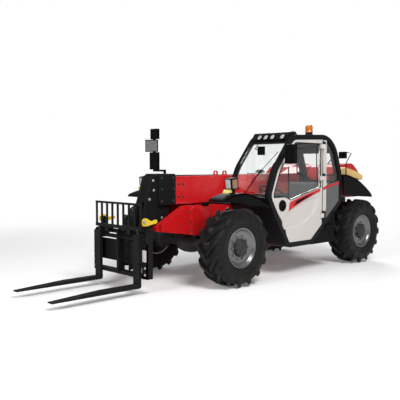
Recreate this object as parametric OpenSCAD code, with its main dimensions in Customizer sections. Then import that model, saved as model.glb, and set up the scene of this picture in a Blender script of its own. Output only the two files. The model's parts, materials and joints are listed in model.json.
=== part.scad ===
// Compact telehandler: rigid chassis, side cab, two-stage boom and fork carriage.
// Millimetres. +X points to the forks, +Y to the cab's side, +Z up.
// Lengths along X are measured from the front axle and moved once, by place().

/* [Wheels and axles] */
// Distance between the two axles
wheelbase = 2750; // [2650:10:2900]
// Diameter over the tyre's lugs
tyre_d = 980; // [960:2:1000]
// Width of a tyre
tyre_w = 366; // [340:2:380]
// Width over the tyres
over_tyres = 1990; // [1960:10:2060]
// Radius of the rim's flange
rim_r = 250; // [240:1:256]
// Radius of the wheel spindle
spindle_r = 60; // [50:1:66]
// Radius of the tube of an axle
axle_r = 75; // [65:1:85]
// Distance of a kingpin from the wheel's middle plane
kingpin_in = 212; // [205:1:225]
// Radius of a kingpin
kingpin_r = 28; // [22:1:34]

/* [Chassis] */
// Gap between the two long chassis plates
well_w = 330; // [324:1:340]
// Thickness of a chassis plate
plate_t = 30; // [20:1:32]
// Half width of the front box and of the rear weight
box_half = 300; // [280:1:310]
// Underside of the chassis between the axles
belly_z = 300; // [280:5:330]
// Distance from the rear axle to the end of the tow hitch
rear_over = 630; // [600:5:700]
// Radius of the tow pin's bore
tow_bore_r = 16; // [12:0.5:20]

/* [Boom] */
// Height of the boom pivot
pivot_z = 1220; // [1200:1:1240]
// Distance of the boom pivot behind the front axle
pivot_back = 2800; // [2780:5:2840]
// Width of the outer boom
boom_w = 300; // [280:1:304]
// Height of the outer boom
boom_h = 355; // [340:1:365]
// Underside of the outer boom
boom_z = 1006; // [1004:1:1020]
// Wall of the outer boom
boom_wall = 12; // [8:1:14]
// Room between the two boom sections
boom_play = 10; // [8:1:14]
// Front end of the outer boom, ahead of the front axle
boom_front = 370; // [340:5:400]
// Radius of the boom pivot pin
boom_pin_r = 40; // [30:1:50]

/* [Carriage] */
// Length of a fork blade
fork_len = 1150; // [1000:10:1200]
// Distance of the fork heels ahead of the front axle
fork_reach = 1157; // [1150:1:1180]
// Width of a fork
fork_w = 100; // [80:5:120]
// Thickness of a fork
fork_t = 45; // [35:1:50]
// Height of the fork undersides
fork_z = 80; // [70:1:100]
// Half of the distance between the fork middles
fork_half = 390; // [330:5:420]
// Half width of the carriage
carriage_half = 540; // [520:5:560]
// Height of the carriage's tilt pin
tilt_z = 330; // [325:1:345]
// Distance of the tilt pin ahead of the front axle
tilt_x = 975; // [965:1:980]
// Height of the load guard's top
guard_z = 1060; // [1000:5:1100]
// Number of bars in the load guard
guard_bars = 9; // [7:1:11]

/* [Cab] */
// Outer face of the cab on the door's side
cab_out = 930; // [910:1:940]
// Outer face of the cab beside the boom
cab_in = 215; // [205:1:225]
// Thickness of the door's wall
side_wall = 60; // [50:1:70]
// Thickness of the other cab walls
cab_wall = 50; // [40:1:60]
// Width of the frame round the door
frame_w = 75; // [65:1:85]
// Gap round the door
door_gap = 6; // [5:0.5:8]
// Thickness of the glass
glass_t = 6; // [4:1:8]
// Reach of the mirrors from the middle
mirror_reach = 1190; // [1150:5:1250]

/* [Hidden] */
$fn = 64;

// Gap left where two pieces of one body meet
seam = 0.3;
// Running clearance of a pin in its bore
run = 0.3;

red = "#c8141b";
black = "#1b1c1e";
steel = "#5a5d60";
silver = "#b9babb";
pale = "#d5d0ca";
smoke = "#55585b";
clear = [0.6, 0.7, 0.72, 0.4];

front_axle_x = (rear_over + wheelbase - fork_reach - fork_len) / 2;
tyre_r = tyre_d / 2;
wheel_y = (over_tyres - tyre_w) / 2;
kingpin_y = wheel_y - kingpin_in;
plate_in = well_w / 2;
plate_out = plate_in + plate_t;
boom_top = boom_z + boom_h;
fork_tip = fork_reach + fork_len;

// Moves a piece from the front axle's frame to the part's own frame
module place() translate([front_axle_x, 0, 0]) children();

// A shape drawn in X and Z, pulled along Y between two faces
module slab(y0, y1) translate([0, y1, 0]) rotate([90, 0, 0]) linear_extrude(y1 - y0) children();

// The same slab on both sides of the machine
module slabs(y0, y1) for (s = [0, 1]) mirror([0, s, 0]) slab(y0, y1) children();

// A round bar along Y
module bar_y(x, z, r, y0, y1) translate([x, y0, z]) rotate([-90, 0, 0]) cylinder(r = r, h = y1 - y0);

// A block given by its low and high corners
module block(low, high) translate(low) cube(high - low);

// Points of a closed outline moved inwards by d, counter-clockwise
function unit(v) = v / norm(v);
function left(v) = [-v.y, v.x];
function step(p, i) = unit(p[(i + 1) % len(p)] - p[i]);
function before(p, i) = (i + len(p) - 1) % len(p);
function inset(p, d) = [for (i = [0 : len(p) - 1])
    let (a = left(step(p, before(p, i))), b = left(step(p, i))) p[i] + d * (a + b) / (1 + a * b)];

// A closed outline with an arc of its own radius at each corner
function turn(u, w) = atan2(u.x * w.y - u.y * w.x, u * w);
function corner(p, u, w, r, n) = let (t = turn(u, w), g = sign(t), c = p - u * abs(r * tan(t / 2)) + left(u) * r * g)
    [for (k = [0 : n]) let (a = t * k / n) c + g * r * [u.y * cos(a) + u.x * sin(a), u.y * sin(a) - u.x * cos(a)]];
function rounded(p, r, n = 8) = [for (i = [0 : len(p) - 1])
    each corner(p[i], step(p, before(p, i)), step(p, i), max(r[i], 1), n)];

// Cab outline, from its lower rear corner round the nose and the roof
cab_low = 315;
cab_points = [[-1395, cab_low], [-895, cab_low], [-545, 1085], [-645, 1475], [-940, 1905], [-1990, 1945],
    [-2190, 1400], [-2190, 1020]];
cab_radii = [60, 90, 200, 500, 170, 330, 400, 60];
function cab_line(d) = rounded(inset(cab_points, d), [for (r = cab_radii) r - d]);
module cab_face(d) polygon(cab_line(d));
module band(d0, d1) difference() {
    cab_face(d0);
    cab_face(d1);
}

// Heights and stations where the cab's panels meet
sill_z = 400;
dash_z = 1085;
head_z = 1790;
rear_low_z = 1020;
rear_glass = [1280, 1680];
hinge_x = -1712;
hinge_y = cab_out + 20;
hinge_pin_r = 8;
hinge_z = [700, 1270, 1750];
hinge_h = 60;
post_w = 62;
belt = [[-300, 905], [-960, 915], [-2400, 1360]];

// The part of a side outline above the belt line
module over_belt(lift) polygon([for (p = belt) p + [0, lift], [-2400, 2300], [-300, 2300]]);
module under_belt(lift) polygon([for (p = belt) p + [0, lift], [-2400, 0], [-300, 0]]);
module ahead(x) translate([x, 0]) square([2000, 2500]);
module behind(x) translate([x - 2000, 0]) square([2000, 2500]);

module door_face(gap, edge = 0) intersection() {
    cab_face(frame_w + gap + edge);
    ahead(hinge_x - door_gap + gap + edge);
}
module quarter_face(gap) intersection() {
    cab_face(frame_w + gap);
    behind(hinge_x - post_w - gap);
}

module chassis_frame() color(red) place() {
    pivot_x = -pivot_back;
    difference() {
        slabs(plate_in, plate_out) chassis_side(pivot_x);
        bar_y(pivot_x, pivot_z, boom_pin_r + run, -box_half, box_half);
    }
    belly_t = 20;
    block([-wheelbase + 420, -plate_in, belly_z], [-420, plate_in, belly_z + belly_t]);
    nose_box();
    for (x = [-1330, -1060]) cross_beam(x);
    rear_cross = -wheelbase - 330;
    block([rear_cross - plate_t, -plate_out, 620], [rear_cross, plate_out, 1000]);
    lift_bracket();
}

// Cross plate and lugs with the lower pin of the lift cylinder
module lift_bracket() {
    back = lift_base[0] - 65;
    block([back - 30, -plate_in, lift_base[1] + 10], [back, plate_in, lift_base[1] + 170]);
    slabs(70, 100) polygon([[back, lift_base[1] - 50], [lift_base[0] + 50, lift_base[1] - 50], [lift_base[0] + 50, lift_base[1] + 50],
        [back, lift_base[1] + 150]]);
    bar_y(lift_base[0], lift_base[1], lift_pin_r, -100, 100);
}

// Side plate: tower at the boom pivot, long beam, arches over the axles and the sloping nose
module chassis_side(pivot_x) {
    axle_top = tyre_r + 110;
    polygon([[-wheelbase - 330, axle_top], [-wheelbase + 190, axle_top], [-wheelbase + 420, belly_z],
        [-420, belly_z], [-190, axle_top], [136, axle_top], [722, 682], [722, 767], [310, 985],
        [-2300, 985], [-2480, 1150], [pivot_x + 150, 1330], [pivot_x - 150, 1330],
        [-wheelbase - 330, 1100]]);
}

// Base of the nose with its side boxes, joined to both plates
module nose_box() {
    slab(-plate_in, plate_in) polygon([[160, 612], [690, 678], [690, 740], [160, 740]]);
    for (s = [0, 1]) mirror([0, s, 0]) {
        slab(plate_out, box_half) polygon([[-100, 600], [136, 600], [690, 678], [690, 740], [290, 740], [290, 930],
            [250, 965], [-100, 965]]);
    }
}

// Beam under the plates that carries the cab on one side and the engine on the other
module cross_beam(x) {
    beam = 50;
    block([x, -900, belly_z - beam], [x + 80, 860, belly_z]);
    block([x, cab_in + 20, belly_z], [x + 80, 860, cab_low - seam]);
}

module axles() color(steel) place() for (x = [0, -wheelbase]) translate([x, 0, tyre_r]) axle();

// Axle beam with its differential, a steering cylinder and a yoke at each end
module axle() {
    web_y = kingpin_y - 85;
    rotate([-90, 0, 0]) rotate_extrude() polygon([[0, -web_y], [axle_r, -web_y], [axle_r, -200], [140, -110],
        [150, -40], [150, 40], [140, 110], [axle_r, 200], [axle_r, web_y], [0, web_y]]);
    block([-80, -200, 0], [80, 200, 110 - seam]);
    translate([-130, -260, 20]) rotate([-90, 0, 0]) cylinder(r = 45, h = 520);
    for (y = [-150, 130]) block([-130, y, -10], [0, y + 20, 50]);
    for (s = [0, 1]) mirror([0, s, 0]) yoke(web_y);
}

// Upper and lower arm round a kingpin
module yoke(web_y) {
    arm_in = 92;
    arm_out = 122;
    block([-60, web_y - 30, -arm_out], [60, web_y, arm_out]);
    for (z = [arm_in, -arm_out]) difference() {
        union() {
            block([-50, web_y - 10, z], [50, kingpin_y, z + arm_out - arm_in]);
            translate([0, kingpin_y, z]) cylinder(r = 50, h = arm_out - arm_in);
        }
        translate([0, kingpin_y, z - 1]) cylinder(r = kingpin_r + run, h = arm_out - arm_in + 2);
    }
}

// Hub carrier: upright with kingpins and the wheel's spindle
module knuckle(x, s) place() translate([x, 0, tyre_r]) mirror([0, s, 0]) {
    spindle_end = wheel_y + 65;
    translate([0, kingpin_y, -88]) cylinder(r = 68, h = 176);
    translate([0, kingpin_y, -120]) cylinder(r = kingpin_r, h = 240);
    bar_y(0, 0, spindle_r, kingpin_y, spindle_end);
    bar_y(0, 0, 86, kingpin_y + 50, wheel_y - 30);
}
module knuckle_fl() color(steel) knuckle(0, 0);
module knuckle_fr() color(steel) knuckle(0, 1);
module knuckle_rl() color(steel) knuckle(-wheelbase, 0);
module knuckle_rr() color(steel) knuckle(-wheelbase, 1);

// Wheel disc with its drop centre, seen as a profile of radius and offset
module rim(x, s) place() translate([x, 0, tyre_r]) mirror([0, s, 0]) translate([0, wheel_y, 0])
    rotate([-90, 0, 0]) rotate_extrude() polygon([[0, 66], [0, 150], [92, 150], [110, 135], [110, 112],
        [196, 112], [rim_r - 28, 134], [rim_r - 16, 146], [rim_r, 146], [rim_r, 134], [rim_r - 10, 126],
        [rim_r - 10, -126], [rim_r, -134], [rim_r, -146], [rim_r - 20, -146], [rim_r - 28, -130], [rim_r - 28, 90],
        [100, 90], [80, 40], [spindle_r + run, 40], [spindle_r + run, 66]]);
module rim_fl() color(silver) rim(0, 0);
module rim_fr() color(silver) rim(0, 1);
module rim_rl() color(silver) rim(-wheelbase, 0);
module rim_rr() color(silver) rim(-wheelbase, 1);

// Tyre casing out to the tips of its lugs
module tyre(x, s) place() translate([x, 0, tyre_r]) mirror([0, s, 0]) translate([0, wheel_y, 0])
    rotate([-90, 0, 0]) rotate_extrude() {
        w = tyre_w / 2;
        bead = rim_r - 10 + run;
        polygon([[bead, -125], [rim_r + run, -133], [rim_r + 5, -150], [rim_r + 60, -w + 10], [rim_r + 110, -w],
            [tyre_r - 60, -w], [tyre_r - 12, -w + 20], [tyre_r, -w + 60], [tyre_r, w - 60], [tyre_r - 12, w - 20],
            [tyre_r - 60, w], [rim_r + 110, w], [rim_r + 60, w - 10], [rim_r + 5, 150], [rim_r + run, 133], [bead, 125]]);
    }
module tyre_fl() color(black) tyre(0, 0);
module tyre_fr() color(black) tyre(0, 1);
module tyre_rl() color(black) tyre(-wheelbase, 0);
module tyre_rr() color(black) tyre(-wheelbase, 1);

// Rear weight between the wheels, with a clevis for a tow pin
module counterweight() color(black) place() {
    front = -wheelbase - 330 - plate_t - seam;
    back = -wheelbase - rear_over;
    jaw = 60;
    difference() {
        slab(-box_half, box_half) polygon([[front, 620], [front, 1000], [back + jaw + 40, 1000], [back + jaw, 940],
            [back + jaw, 660], [back + jaw + 40, 620]]);
    }
    for (z = [690, 760]) difference() {
        block([back + 30, -45, z], [back + jaw, 45, z + 25]);
        translate([back + 32, 0, z - 1]) cylinder(r = tow_bore_r, h = 27);
    }
    for (z = [690, 760]) difference() {
        translate([back + 32, 0, z]) cylinder(r = 32, h = 25);
        translate([back + 32, 0, z - 1]) cylinder(r = tow_bore_r, h = 27);
    }
}

module engine_block() color(steel) place() {
    block([-1850, -820, 420], [-850, -330, 800]);
    block([-1700, -760, 800], [-950, -390, 1000]);
    for (x = [-1750, -1000]) block([x, -780, 330 + seam], [x + 80, -370, 420]);
}

// Tray with low walls round the engine
pod_x = [-2060, -690];
pod_out = -930;
pod_in = -205;
pod_top = 760;
module engine_pod() color(black) place() {
    wall = 25;
    low = belly_z + seam;
    difference() {
        block([pod_x[0], pod_out, low], [pod_x[1], pod_in, pod_top]);
        block([pod_x[0] + wall, pod_out + wall, 330], [pod_x[1] - wall, pod_in - wall, pod_top + 1]);
        for (i = [0 : 9]) block([-1800 + i * 80, pod_out - 1, 480], [-1760 + i * 80, pod_out + wall + 1, 680]);
    }
    block([pod_x[0] + 30, pod_in - wall, pod_top - 10], [pod_x[1] - 30, pod_in, lid_hinge[1] - 10]);
    for (x = [-1900, -950]) translate([x, lid_hinge[0], lid_hinge[1]]) rotate([0, 90, 0]) cylinder(r = lid_pin_r, h = 120);
}

// Engine lid: top, outer side and ends, hinged along its inner edge
lid_top = 1180;
lid_wall = 20;
lid_pin_r = 14;
lid_hinge = [pod_in - 13, lid_top - lid_wall - lid_pin_r - run];
module bonnet() color(red) place() {
    low = pod_top + 6;
    lean = 130;
    difference() {
        lid_form(pod_x[0], pod_x[1], low, 0, lean);
        lid_form(pod_x[0] + lid_wall, pod_x[1] - lid_wall, low - 1, lid_wall, lean);
        block([pod_x[0] + lid_wall, pod_in - 60, low - 1], [pod_x[1] - lid_wall, pod_in + 1, lid_top - lid_wall]);
    }
}
module lid_form(x0, x1, low, d, lean) translate([x0, 0, 0]) rotate([90, 0, 90]) linear_extrude(x1 - x0)
    polygon([[pod_out + d, low], [pod_in - d, low], [pod_in - d, lid_top - d], [pod_out + lean + d * 0.6, lid_top - d],
        [pod_out + d, lid_top - lean - d * 0.6]]);

// Closed covers on both sides of the boom's tail
module rear_cowls() color(red) place() slabs(plate_out + seam, 640)
    polygon(rounded([[-3150, 1000], [-2300, 1000], [-2300, 1330], [-2480, 1500], [-2950, 1540], [-3150, 1400]],
        [20, 40, 90, 160, 160, 120]));

module cab_floor() color(black) place() {
    y0 = cab_in + cab_wall + seam;
    y1 = cab_out - side_wall - seam;
    slab(y0, y1) intersection() {
        band(0, cab_wall);
        union() {
            square([4000, 2 * (sill_z - seam)], center = true);
            translate([-4000, 0]) square([2800, rear_low_z - seam]);
        }
    }
    seat_stand(y0);
}
seat_mid = 575;
seat_top = 640;
module seat_stand(y0) slab(seat_mid - 200, seat_mid + 200)
    polygon([[-1400, 345], [-1330, 345], [-1280, seat_top], [-1730, seat_top]]);

module cab_left_frame() color(black) place() {
    slab(cab_out - side_wall, cab_out) difference() {
        cab_face(0);
        door_face(0);
        quarter_face(0);
    }
    for (z = hinge_z) {
        top = z + hinge_h + 1;
        block([hinge_x - 55, cab_out, top], [hinge_x, hinge_y, top + 30]);
        translate([hinge_x, hinge_y, top]) cylinder(r = 14, h = 30);
        translate([hinge_x, hinge_y, z]) cylinder(r = hinge_pin_r, h = hinge_h + 2);
    }
}

module cab_right_wall() color(black) place() slab(cab_in, cab_in + cab_wall) difference() {
    cab_face(0);
    side_window(0);
}
module side_window(gap) intersection() {
    cab_face(frame_w + gap);
    translate([-3000, dash_z + gap]) square([3000, 2000]);
}

module cab_front() color(black) place() slab(cab_in + cab_wall + seam, cab_out - side_wall - seam) intersection() {
    band(0, cab_wall);
    translate([-1150, sill_z]) square([1150, dash_z - sill_z]);
}

module cab_rear() color(black) place() difference() {
    slab(cab_in + cab_wall + seam, cab_out - side_wall - seam) intersection() {
        band(0, cab_wall);
        translate([-3000, rear_low_z]) square([1100, head_z - seam - rear_low_z]);
    }
    block([-3000, cab_in + 2 * cab_wall, rear_glass[0]], [-1900, cab_out - side_wall - cab_wall, rear_glass[1]]);
}

module cab_roof() color(black) place() slab(cab_in + cab_wall + seam, cab_out - side_wall - seam) intersection() {
    band(0, cab_wall);
    translate([-3000, head_z]) square([3000, 1000]);
}

module quarter_panel() color(smoke) place() slab(cab_out - 45, cab_out - 5) intersection() {
    quarter_face(seam);
    under_belt(0);
}

module windscreen() color(clear) place() slab(cab_in + cab_wall + seam, cab_out - side_wall - seam) intersection() {
    band(12, 12 + glass_t);
    translate([-1200, dash_z + seam]) square([1200, head_z - dash_z - 2 * seam]);
}

module cab_glass() color(clear) place() {
    slab(cab_in + 20, cab_in + 20 + glass_t) side_window(seam);
    slab(cab_out - 28, cab_out - 28 + glass_t) intersection() {
        quarter_face(seam);
        over_belt(seam);
    }
    slab(cab_in + 2 * cab_wall + seam, cab_out - side_wall - cab_wall - seam) intersection() {
        band(20, 20 + glass_t);
        translate([-3000, rear_glass[0] + seam]) square([1100, rear_glass[1] - rear_glass[0] - 2 * seam]);
    }
}

// Cushion and backrest, standing on the seat's base
module seat() color(black) place() {
    low = seat_top + seam;
    slab(seat_mid - 240, seat_mid + 240) polygon(rounded([[-1655, low], [-1250, low], [-1230, low + 110], [-1600, low + 100],
        [-1690, low + 640], [-1800, low + 640]], [40, 40, 50, 60, 40, 60]));
}

module steering_column() color(black) place() {
    column_z = cab_low + cab_wall + seam;
    slab(seat_mid - 70, seat_mid + 70) polygon([[-1010, column_z], [-950, column_z], [-925, 960], [-960, 1075],
        [-1010, 1060]]);
    translate([-1000, seat_mid, 1078]) rotate([0, -32, 0]) {
        translate([0, 0, -10]) cylinder(r = 28, h = 70);
        translate([0, 0, 52]) rotate_extrude() translate([180, 0]) circle(r = 14, $fn = 24);
        for (a = [0, 120, 240]) rotate(a) block([0, -14, 42], [176, 14, 58]);
    }
}

// Shelf-like mudguards over the front wheels with the arms that carry them
module front_mudguards() color(black) place() for (s = [0, 1]) mirror([0, s, 0]) {
    slab(640, 960) polygon([[435, 1085], [420, 1105], [250, 1150], [74, 1163], [-150, 1150], [-412, 1065],
        [-412, 1035], [-150, 1122], [74, 1135], [250, 1122], [410, 1082]]);
    block([0, 640, 1000], [20, 900, 1150]);
    block([0, 210, 1000], [60, 900, 1020]);
    block([0, 210, 965], [60, 290, 1010]);
}

module rear_mudguards() color(black) place() for (s = [0, 1]) mirror([0, s, 0])
    slab(640 + seam, 960) polygon([[-2320, 1360], [-2330, 1375], [-2500, 1350], [-2900, 1260], [-3080, 1185], [-3190, 1050],
        [-3160, 1050], [-3060, 1165], [-2880, 1235], [-2500, 1322], [-2330, 1340]]);

module headlamps() color(silver) place() for (s = [0, 1]) mirror([0, s, 0]) {
    slab(740, 920) polygon(rounded([[-20, 1212], [140, 1205], [160, 1340], [-10, 1352]], [30, 30, 30, 40]));
    block([40, 800, 1163 + seam], [90, 860, 1220]);
    slab(760, 900) polygon([[120, 1160], [200, 1154], [190, 1190], [125, 1192]]);
}

module tail_lamps() color(red) place() for (s = [0, 1]) mirror([0, s, 0])
    block([-3190, 440, 1060], [-3150 - seam, 620, 1180]);

module roof_lamps() color(silver) place() {
    for (y = [310, 440, 660, 790]) translate([-925, y, 1918]) rotate([0, 90, 0]) cylinder(r = 36, h = 60);
    block([-1000, 290, 1905.4], [-920, 810, 1925]);
}

module beacon() color("orange") place() translate([-1700, 700, 0]) {
    translate([0, 0, 1936.4]) cylinder(r = 55, h = 38);
    translate([0, 0, 1970]) rotate_extrude() polygon([[0, 0], [48, 0], [48, 90], [40, 112], [0, 120]]);
}

module mirrors() color(black) place() {
    mirror_left();
    mirror_right();
    mirror_rear();
}
module mirror_left() {
    block([-760, cab_out + seam, 1600], [-730, mirror_reach - 70, 1620]);
    slab(mirror_reach - 150, mirror_reach) polygon(rounded([[-770, 1520], [-715, 1520], [-705, 1640], [-715, 1770], [-770, 1770]],
        [15, 15, 60, 15, 15]));
}
module mirror_right() {
    y = -mirror_reach;
    block([-320, -880, 1105 + seam], [-290, -850, 1440]);
    block([-320, y + 70, 1410], [-290, -850, 1440]);
    block([-320, y + 70, 1410], [-290, y + 100, 1960]);
    slab(y, y + 160) polygon([[-340, 1440], [-280, 1440], [-280, 1715], [-340, 1715]]);
    slab(y, y + 170) polygon([[-340, 1730], [-280, 1730], [-280, 1860], [-340, 1860]]);
    slab(y + 20, y + 150) polygon([[-340, 1890], [-280, 1890], [-280, 2030], [-340, 2030]]);
}
module mirror_rear() {
    block([-2430, cab_out + seam, 1660], [-2040, cab_out + 20, 1680]);
    slab(cab_out - 140, cab_out + 20) polygon([[-2440, 1590], [-2390, 1590], [-2390, 1700], [-2440, 1700]]);
}

// Bar that props the boom for service, stowed on the rear mudguard
module safety_prop() color("khaki") place() slab(720, 860)
    polygon([[-2400, 1374], [-2500, 1350 + seam], [-2900, 1260 + seam], [-2910, 1345], [-2420, 1460]]);

module door_panel() color(pale) place() {
    difference() {
        slab(cab_out - 48, cab_out - 2) door_face(door_gap);
        slab(cab_out - 60, cab_out + 10) door_window(0);
    }
    for (z = hinge_z) difference() {
        union() {
            block([hinge_x, cab_out - 2, z], [hinge_x + 60, hinge_y, z + hinge_h]);
            translate([hinge_x, hinge_y, z]) cylinder(r = 14, h = hinge_h);
        }
        translate([hinge_x, hinge_y, z - 1]) cylinder(r = hinge_pin_r + run, h = hinge_h + 2);
    }
}
module door_window(gap) intersection() {
    door_face(door_gap, 42 + gap);
    over_belt(gap);
}

module door_glass() color(clear) place() slab(cab_out - 28, cab_out - 28 + glass_t) door_window(seam);

// Outer boom: box tube with a rounded tail, pivot tube, eyes on top and lugs for the lift cylinder
lift_base = [-2450, 550];
lift_eye = [-1250, 935];
lift_pin_r = 30;
tail_r = 300;
tail_t = 30;
module boom_outer() color(red) place() {
    half = boom_w / 2;
    difference() {
        union() {
            slab(-half, half) boom_side();
            bar_y(-pivot_back, pivot_z, boom_pin_r + 30, -plate_in + 5, plate_in - 5);
            for (x = [-430, -605]) lift_ring(x);
            for (y = [-95, 65]) slab(y, y + 30) polygon([[-1400, boom_z], [-1320, 880], [-1180, 880], [-1100, boom_z]]);
        }
        slab(-half + boom_wall, half - boom_wall) polygon([[-2420, boom_z + boom_wall], [boom_front + 1, boom_z + boom_wall],
            [boom_front + 1, boom_top - boom_wall], [-2420, boom_top - boom_wall]]);
        slab(-half + tail_t, half - tail_t) difference() {
            translate([-pivot_back, pivot_z]) circle(r = tail_r - tail_t);
            translate([-pivot_back, pivot_z]) circle(r = boom_pin_r + tail_t);
        }
    }
    bar_y(-pivot_back, pivot_z, boom_pin_r, -plate_out, plate_out);
    wear_pads(boom_front - 140, 1);
}
module boom_side() polygon(concat([[-2300, boom_z], [boom_front, boom_z], [boom_front, boom_top], [-2150, boom_top + 20],
    [-2350, boom_top + 110]], [for (a = [75 : 10 : 255]) [-pivot_back, pivot_z] + tail_r * [cos(a), sin(a)]]));
module lift_ring(x) translate([x, 0, boom_top - 2]) difference() {
    slab(60, 78) union() {
        translate([0, 35]) circle(r = 38);
        translate([-38, 0]) square([76, 35]);
    }
    bar_y(0, 38, 22, 50, 90);
}

// Four sliding pads between the boom sections, thinned by the running clearance on one face
module wear_pads(x, outer) {
    half = inner_w / 2 + outer * run;
    pad = boom_play - run;
    top = inner_z + inner_h + outer * run;
    low = inner_z - outer * run;
    for (s = [0, 1]) mirror([0, s, 0]) block([x, half, inner_z + 40], [x + 120, half + pad, inner_z + inner_h - 40]);
    block([x, -half + 30, top], [x + 120, half - 30, top + pad]);
    block([x, -half + 30, low - pad], [x + 120, half - 30, low]);
}

// Inner boom with its goose-neck head and the ears of the tilt pin
inner_w = boom_w - 2 * (boom_wall + boom_play);
inner_h = boom_h - 2 * (boom_wall + boom_play);
inner_z = boom_z + boom_wall + boom_play;
module boom_inner() color(black) place() {
    half = inner_w / 2;
    tail = -2330;
    difference() {
        slab(-half, half) polygon([[tail, inner_z], [640, inner_z], [640, inner_z + inner_h], [tail, inner_z + inner_h]]);
        slab(-half + 12, half - 12) polygon([[tail - 1, inner_z + 12], [500, inner_z + 12], [500, inner_z + inner_h - 12],
            [tail - 1, inner_z + inner_h - 12]]);
    }
    wear_pads(tail + 20, 0);
    difference() {
        slabs(70, 100) head_side();
        bar_y(tilt_x, tilt_z, tilt_pin_r, -120, 120);
    }
    bar_y(tilt_x, tilt_z, tilt_pin_r, -160, 160);
    slab(-half, half) polygon([[boom_front + 8, inner_z + inner_h], [640, inner_z + inner_h], [640, boom_top + 30], [boom_front + 8, boom_top + 30]]);
    bar_y(tilt_top[0], tilt_top[1], 30, -70, -48);
    bar_y(tilt_top[0], tilt_top[1], 30, 48, 70);
}
tilt_pin_r = 32;
tilt_top = [620, 960];
module head_side() polygon(concat([[500, 1010], [470, 900], [560, 860], [700, 880]],
    [for (a = [215 : 15 : 365]) [tilt_x, tilt_z] + 70 * [cos(a), sin(a)]],
    [[955, 560], [962, 1050], [905, 1330], [850, 1372], [640, 1372], [500, 1340]]));

// Tilt cylinder between the head's plates
tilt_lug = [tilt_x, tilt_z + 200];
tilt_dir = unit(tilt_lug - tilt_top);
tilt_angle = atan2(tilt_dir.y, tilt_dir.x);
module along(p, a) translate([p[0], 0, p[1]]) rotate([0, 90 - a, 0]) children();
module tilt_barrel() color(steel) place() {
    bar_y(tilt_top[0], tilt_top[1], 42, -47.5, 47.5);
    along(tilt_top, tilt_angle) difference() {
        translate([0, 0, 20]) cylinder(r = 45, h = 450);
        translate([0, 0, 60]) cylinder(r = 25 + run, h = 450);
    }
}
module tilt_rod() color(silver) place() {
    reach = norm(tilt_lug - tilt_top);
    along(tilt_top, tilt_angle) translate([0, 0, 100]) cylinder(r = 25, h = reach - 120);
    bar_y(tilt_lug[0], tilt_lug[1], 36, -35, 35);
}

// Lift cylinder in the well between the chassis plates
lift_dir = unit(lift_eye - lift_base);
lift_angle = atan2(lift_dir.y, lift_dir.x);
module lift_barrel() color(black) place() {
    difference() {
        union() {
            bar_y(lift_base[0], lift_base[1], 58, -66, 66);
            along(lift_base, lift_angle) translate([0, 0, 40]) cylinder(r = 65, h = 1000);
        }
        bar_y(lift_base[0], lift_base[1], lift_pin_r + run, -70, 70);
        along(lift_base, lift_angle) translate([0, 0, 110]) cylinder(r = 35 + run, h = 1000);
    }
}
module lift_rod() color(silver) place() {
    reach = norm(lift_eye - lift_base);
    along(lift_base, lift_angle) translate([0, 0, 150]) cylinder(r = 35, h = reach - 180);
    bar_y(lift_eye[0], lift_eye[1], 52, -58, 58);
}

// Fork carriage: side plates, cross bars and the ears that hang on the tilt pin
carriage_x = [1066, 1150];
bar_z = 640;
carriage_top = 720;
lever_y = 300;
module carriage() color(black) place() {
    difference() {
        union() {
            slabs(carriage_half - 25, carriage_half) polygon([[carriage_x[0], 230], [carriage_x[1], 230],
                [carriage_x[1], carriage_top - 30], [carriage_x[1] - 30, carriage_top], [carriage_x[0], carriage_top]]);
            slabs(105, 130) ear_side();
        }
        bar_y(tilt_x, tilt_z, tilt_pin_r + run, -200, 200);
    }
    half = carriage_half - 25;
    block([carriage_x[0], -half, 230], [carriage_x[1], half, 262]);
    block([carriage_x[0], -half, 420], [carriage_x[0] + 25, half, 560]);
    bar_y(carriage_x[1] - 25, bar_z, 25, -half, half);
    block([carriage_x[0], -half, bar_z + 30], [carriage_x[0] + 25, half, carriage_top]);
    slabs(42, 62) tilt_lug_side();
    slabs(lever_y - 30, lever_y - seam) polygon([[carriage_x[0], bar_z + 30], [carriage_x[0] + 25, bar_z + 30],
        [carriage_x[0] + 20, 860], [carriage_x[0] - 30, 875], [carriage_x[0] - 50, 830]]);
}
module tilt_lug_side() polygon(concat([for (a = [90 : 15 : 240]) tilt_lug + 42 * [cos(a), sin(a)]],
    [[carriage_x[0] + 10, 430], [carriage_x[0] + 10, 560]]));
module ear_side() polygon(concat([for (a = [90 : 15 : 270]) [tilt_x, tilt_z] + 66 * [cos(a), sin(a)]],
    [[carriage_x[0] + 25, 240], [carriage_x[0] + 25, 700], [carriage_x[0] - 60, 600]]));

// Upright bars that stop a load from falling back
module load_guard() color(black) place() {
    half = 445;
    x = carriage_x[1];
    low = carriage_top;
    for (i = [0 : guard_bars - 1]) let (y = -half + 2 * half * i / (guard_bars - 1))
        block([x, y - 8, low + 30], [x + 30, y + 8, guard_z - 20]);
    block([x, -half - 8, guard_z - 25], [x + 30, half + 8, guard_z]);
    block([x, -half - 8, low + 25], [x + 30, half + 8, low + 65]);
    for (y = [-220, 220]) block([carriage_x[0] + 25 + seam, y - 30, low - 30], [x + 30, y + 30, low + 40]);
}

module forks() color(black) place() for (y = [-fork_half, fork_half]) translate([0, y, 0]) fork();

// Fork: tapered blade, shank and a hook round the carriage's bar
module fork() {
    x = fork_reach;
    difference() {
        slab(-fork_w / 2, fork_w / 2) polygon([[x, fork_z + 15], [x + 15, fork_z], [fork_tip, fork_z], [fork_tip, fork_z + 12],
            [x + fork_len * 0.45, fork_z + fork_t], [x + fork_t, fork_z + fork_t], [x + fork_t, 700], [x - 62, 700],
            [x - 62, 610], [x, 610]]);
        bar_y(carriage_x[1] - 25, bar_z, 25 + run, -fork_w, fork_w);
    }
}

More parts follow.
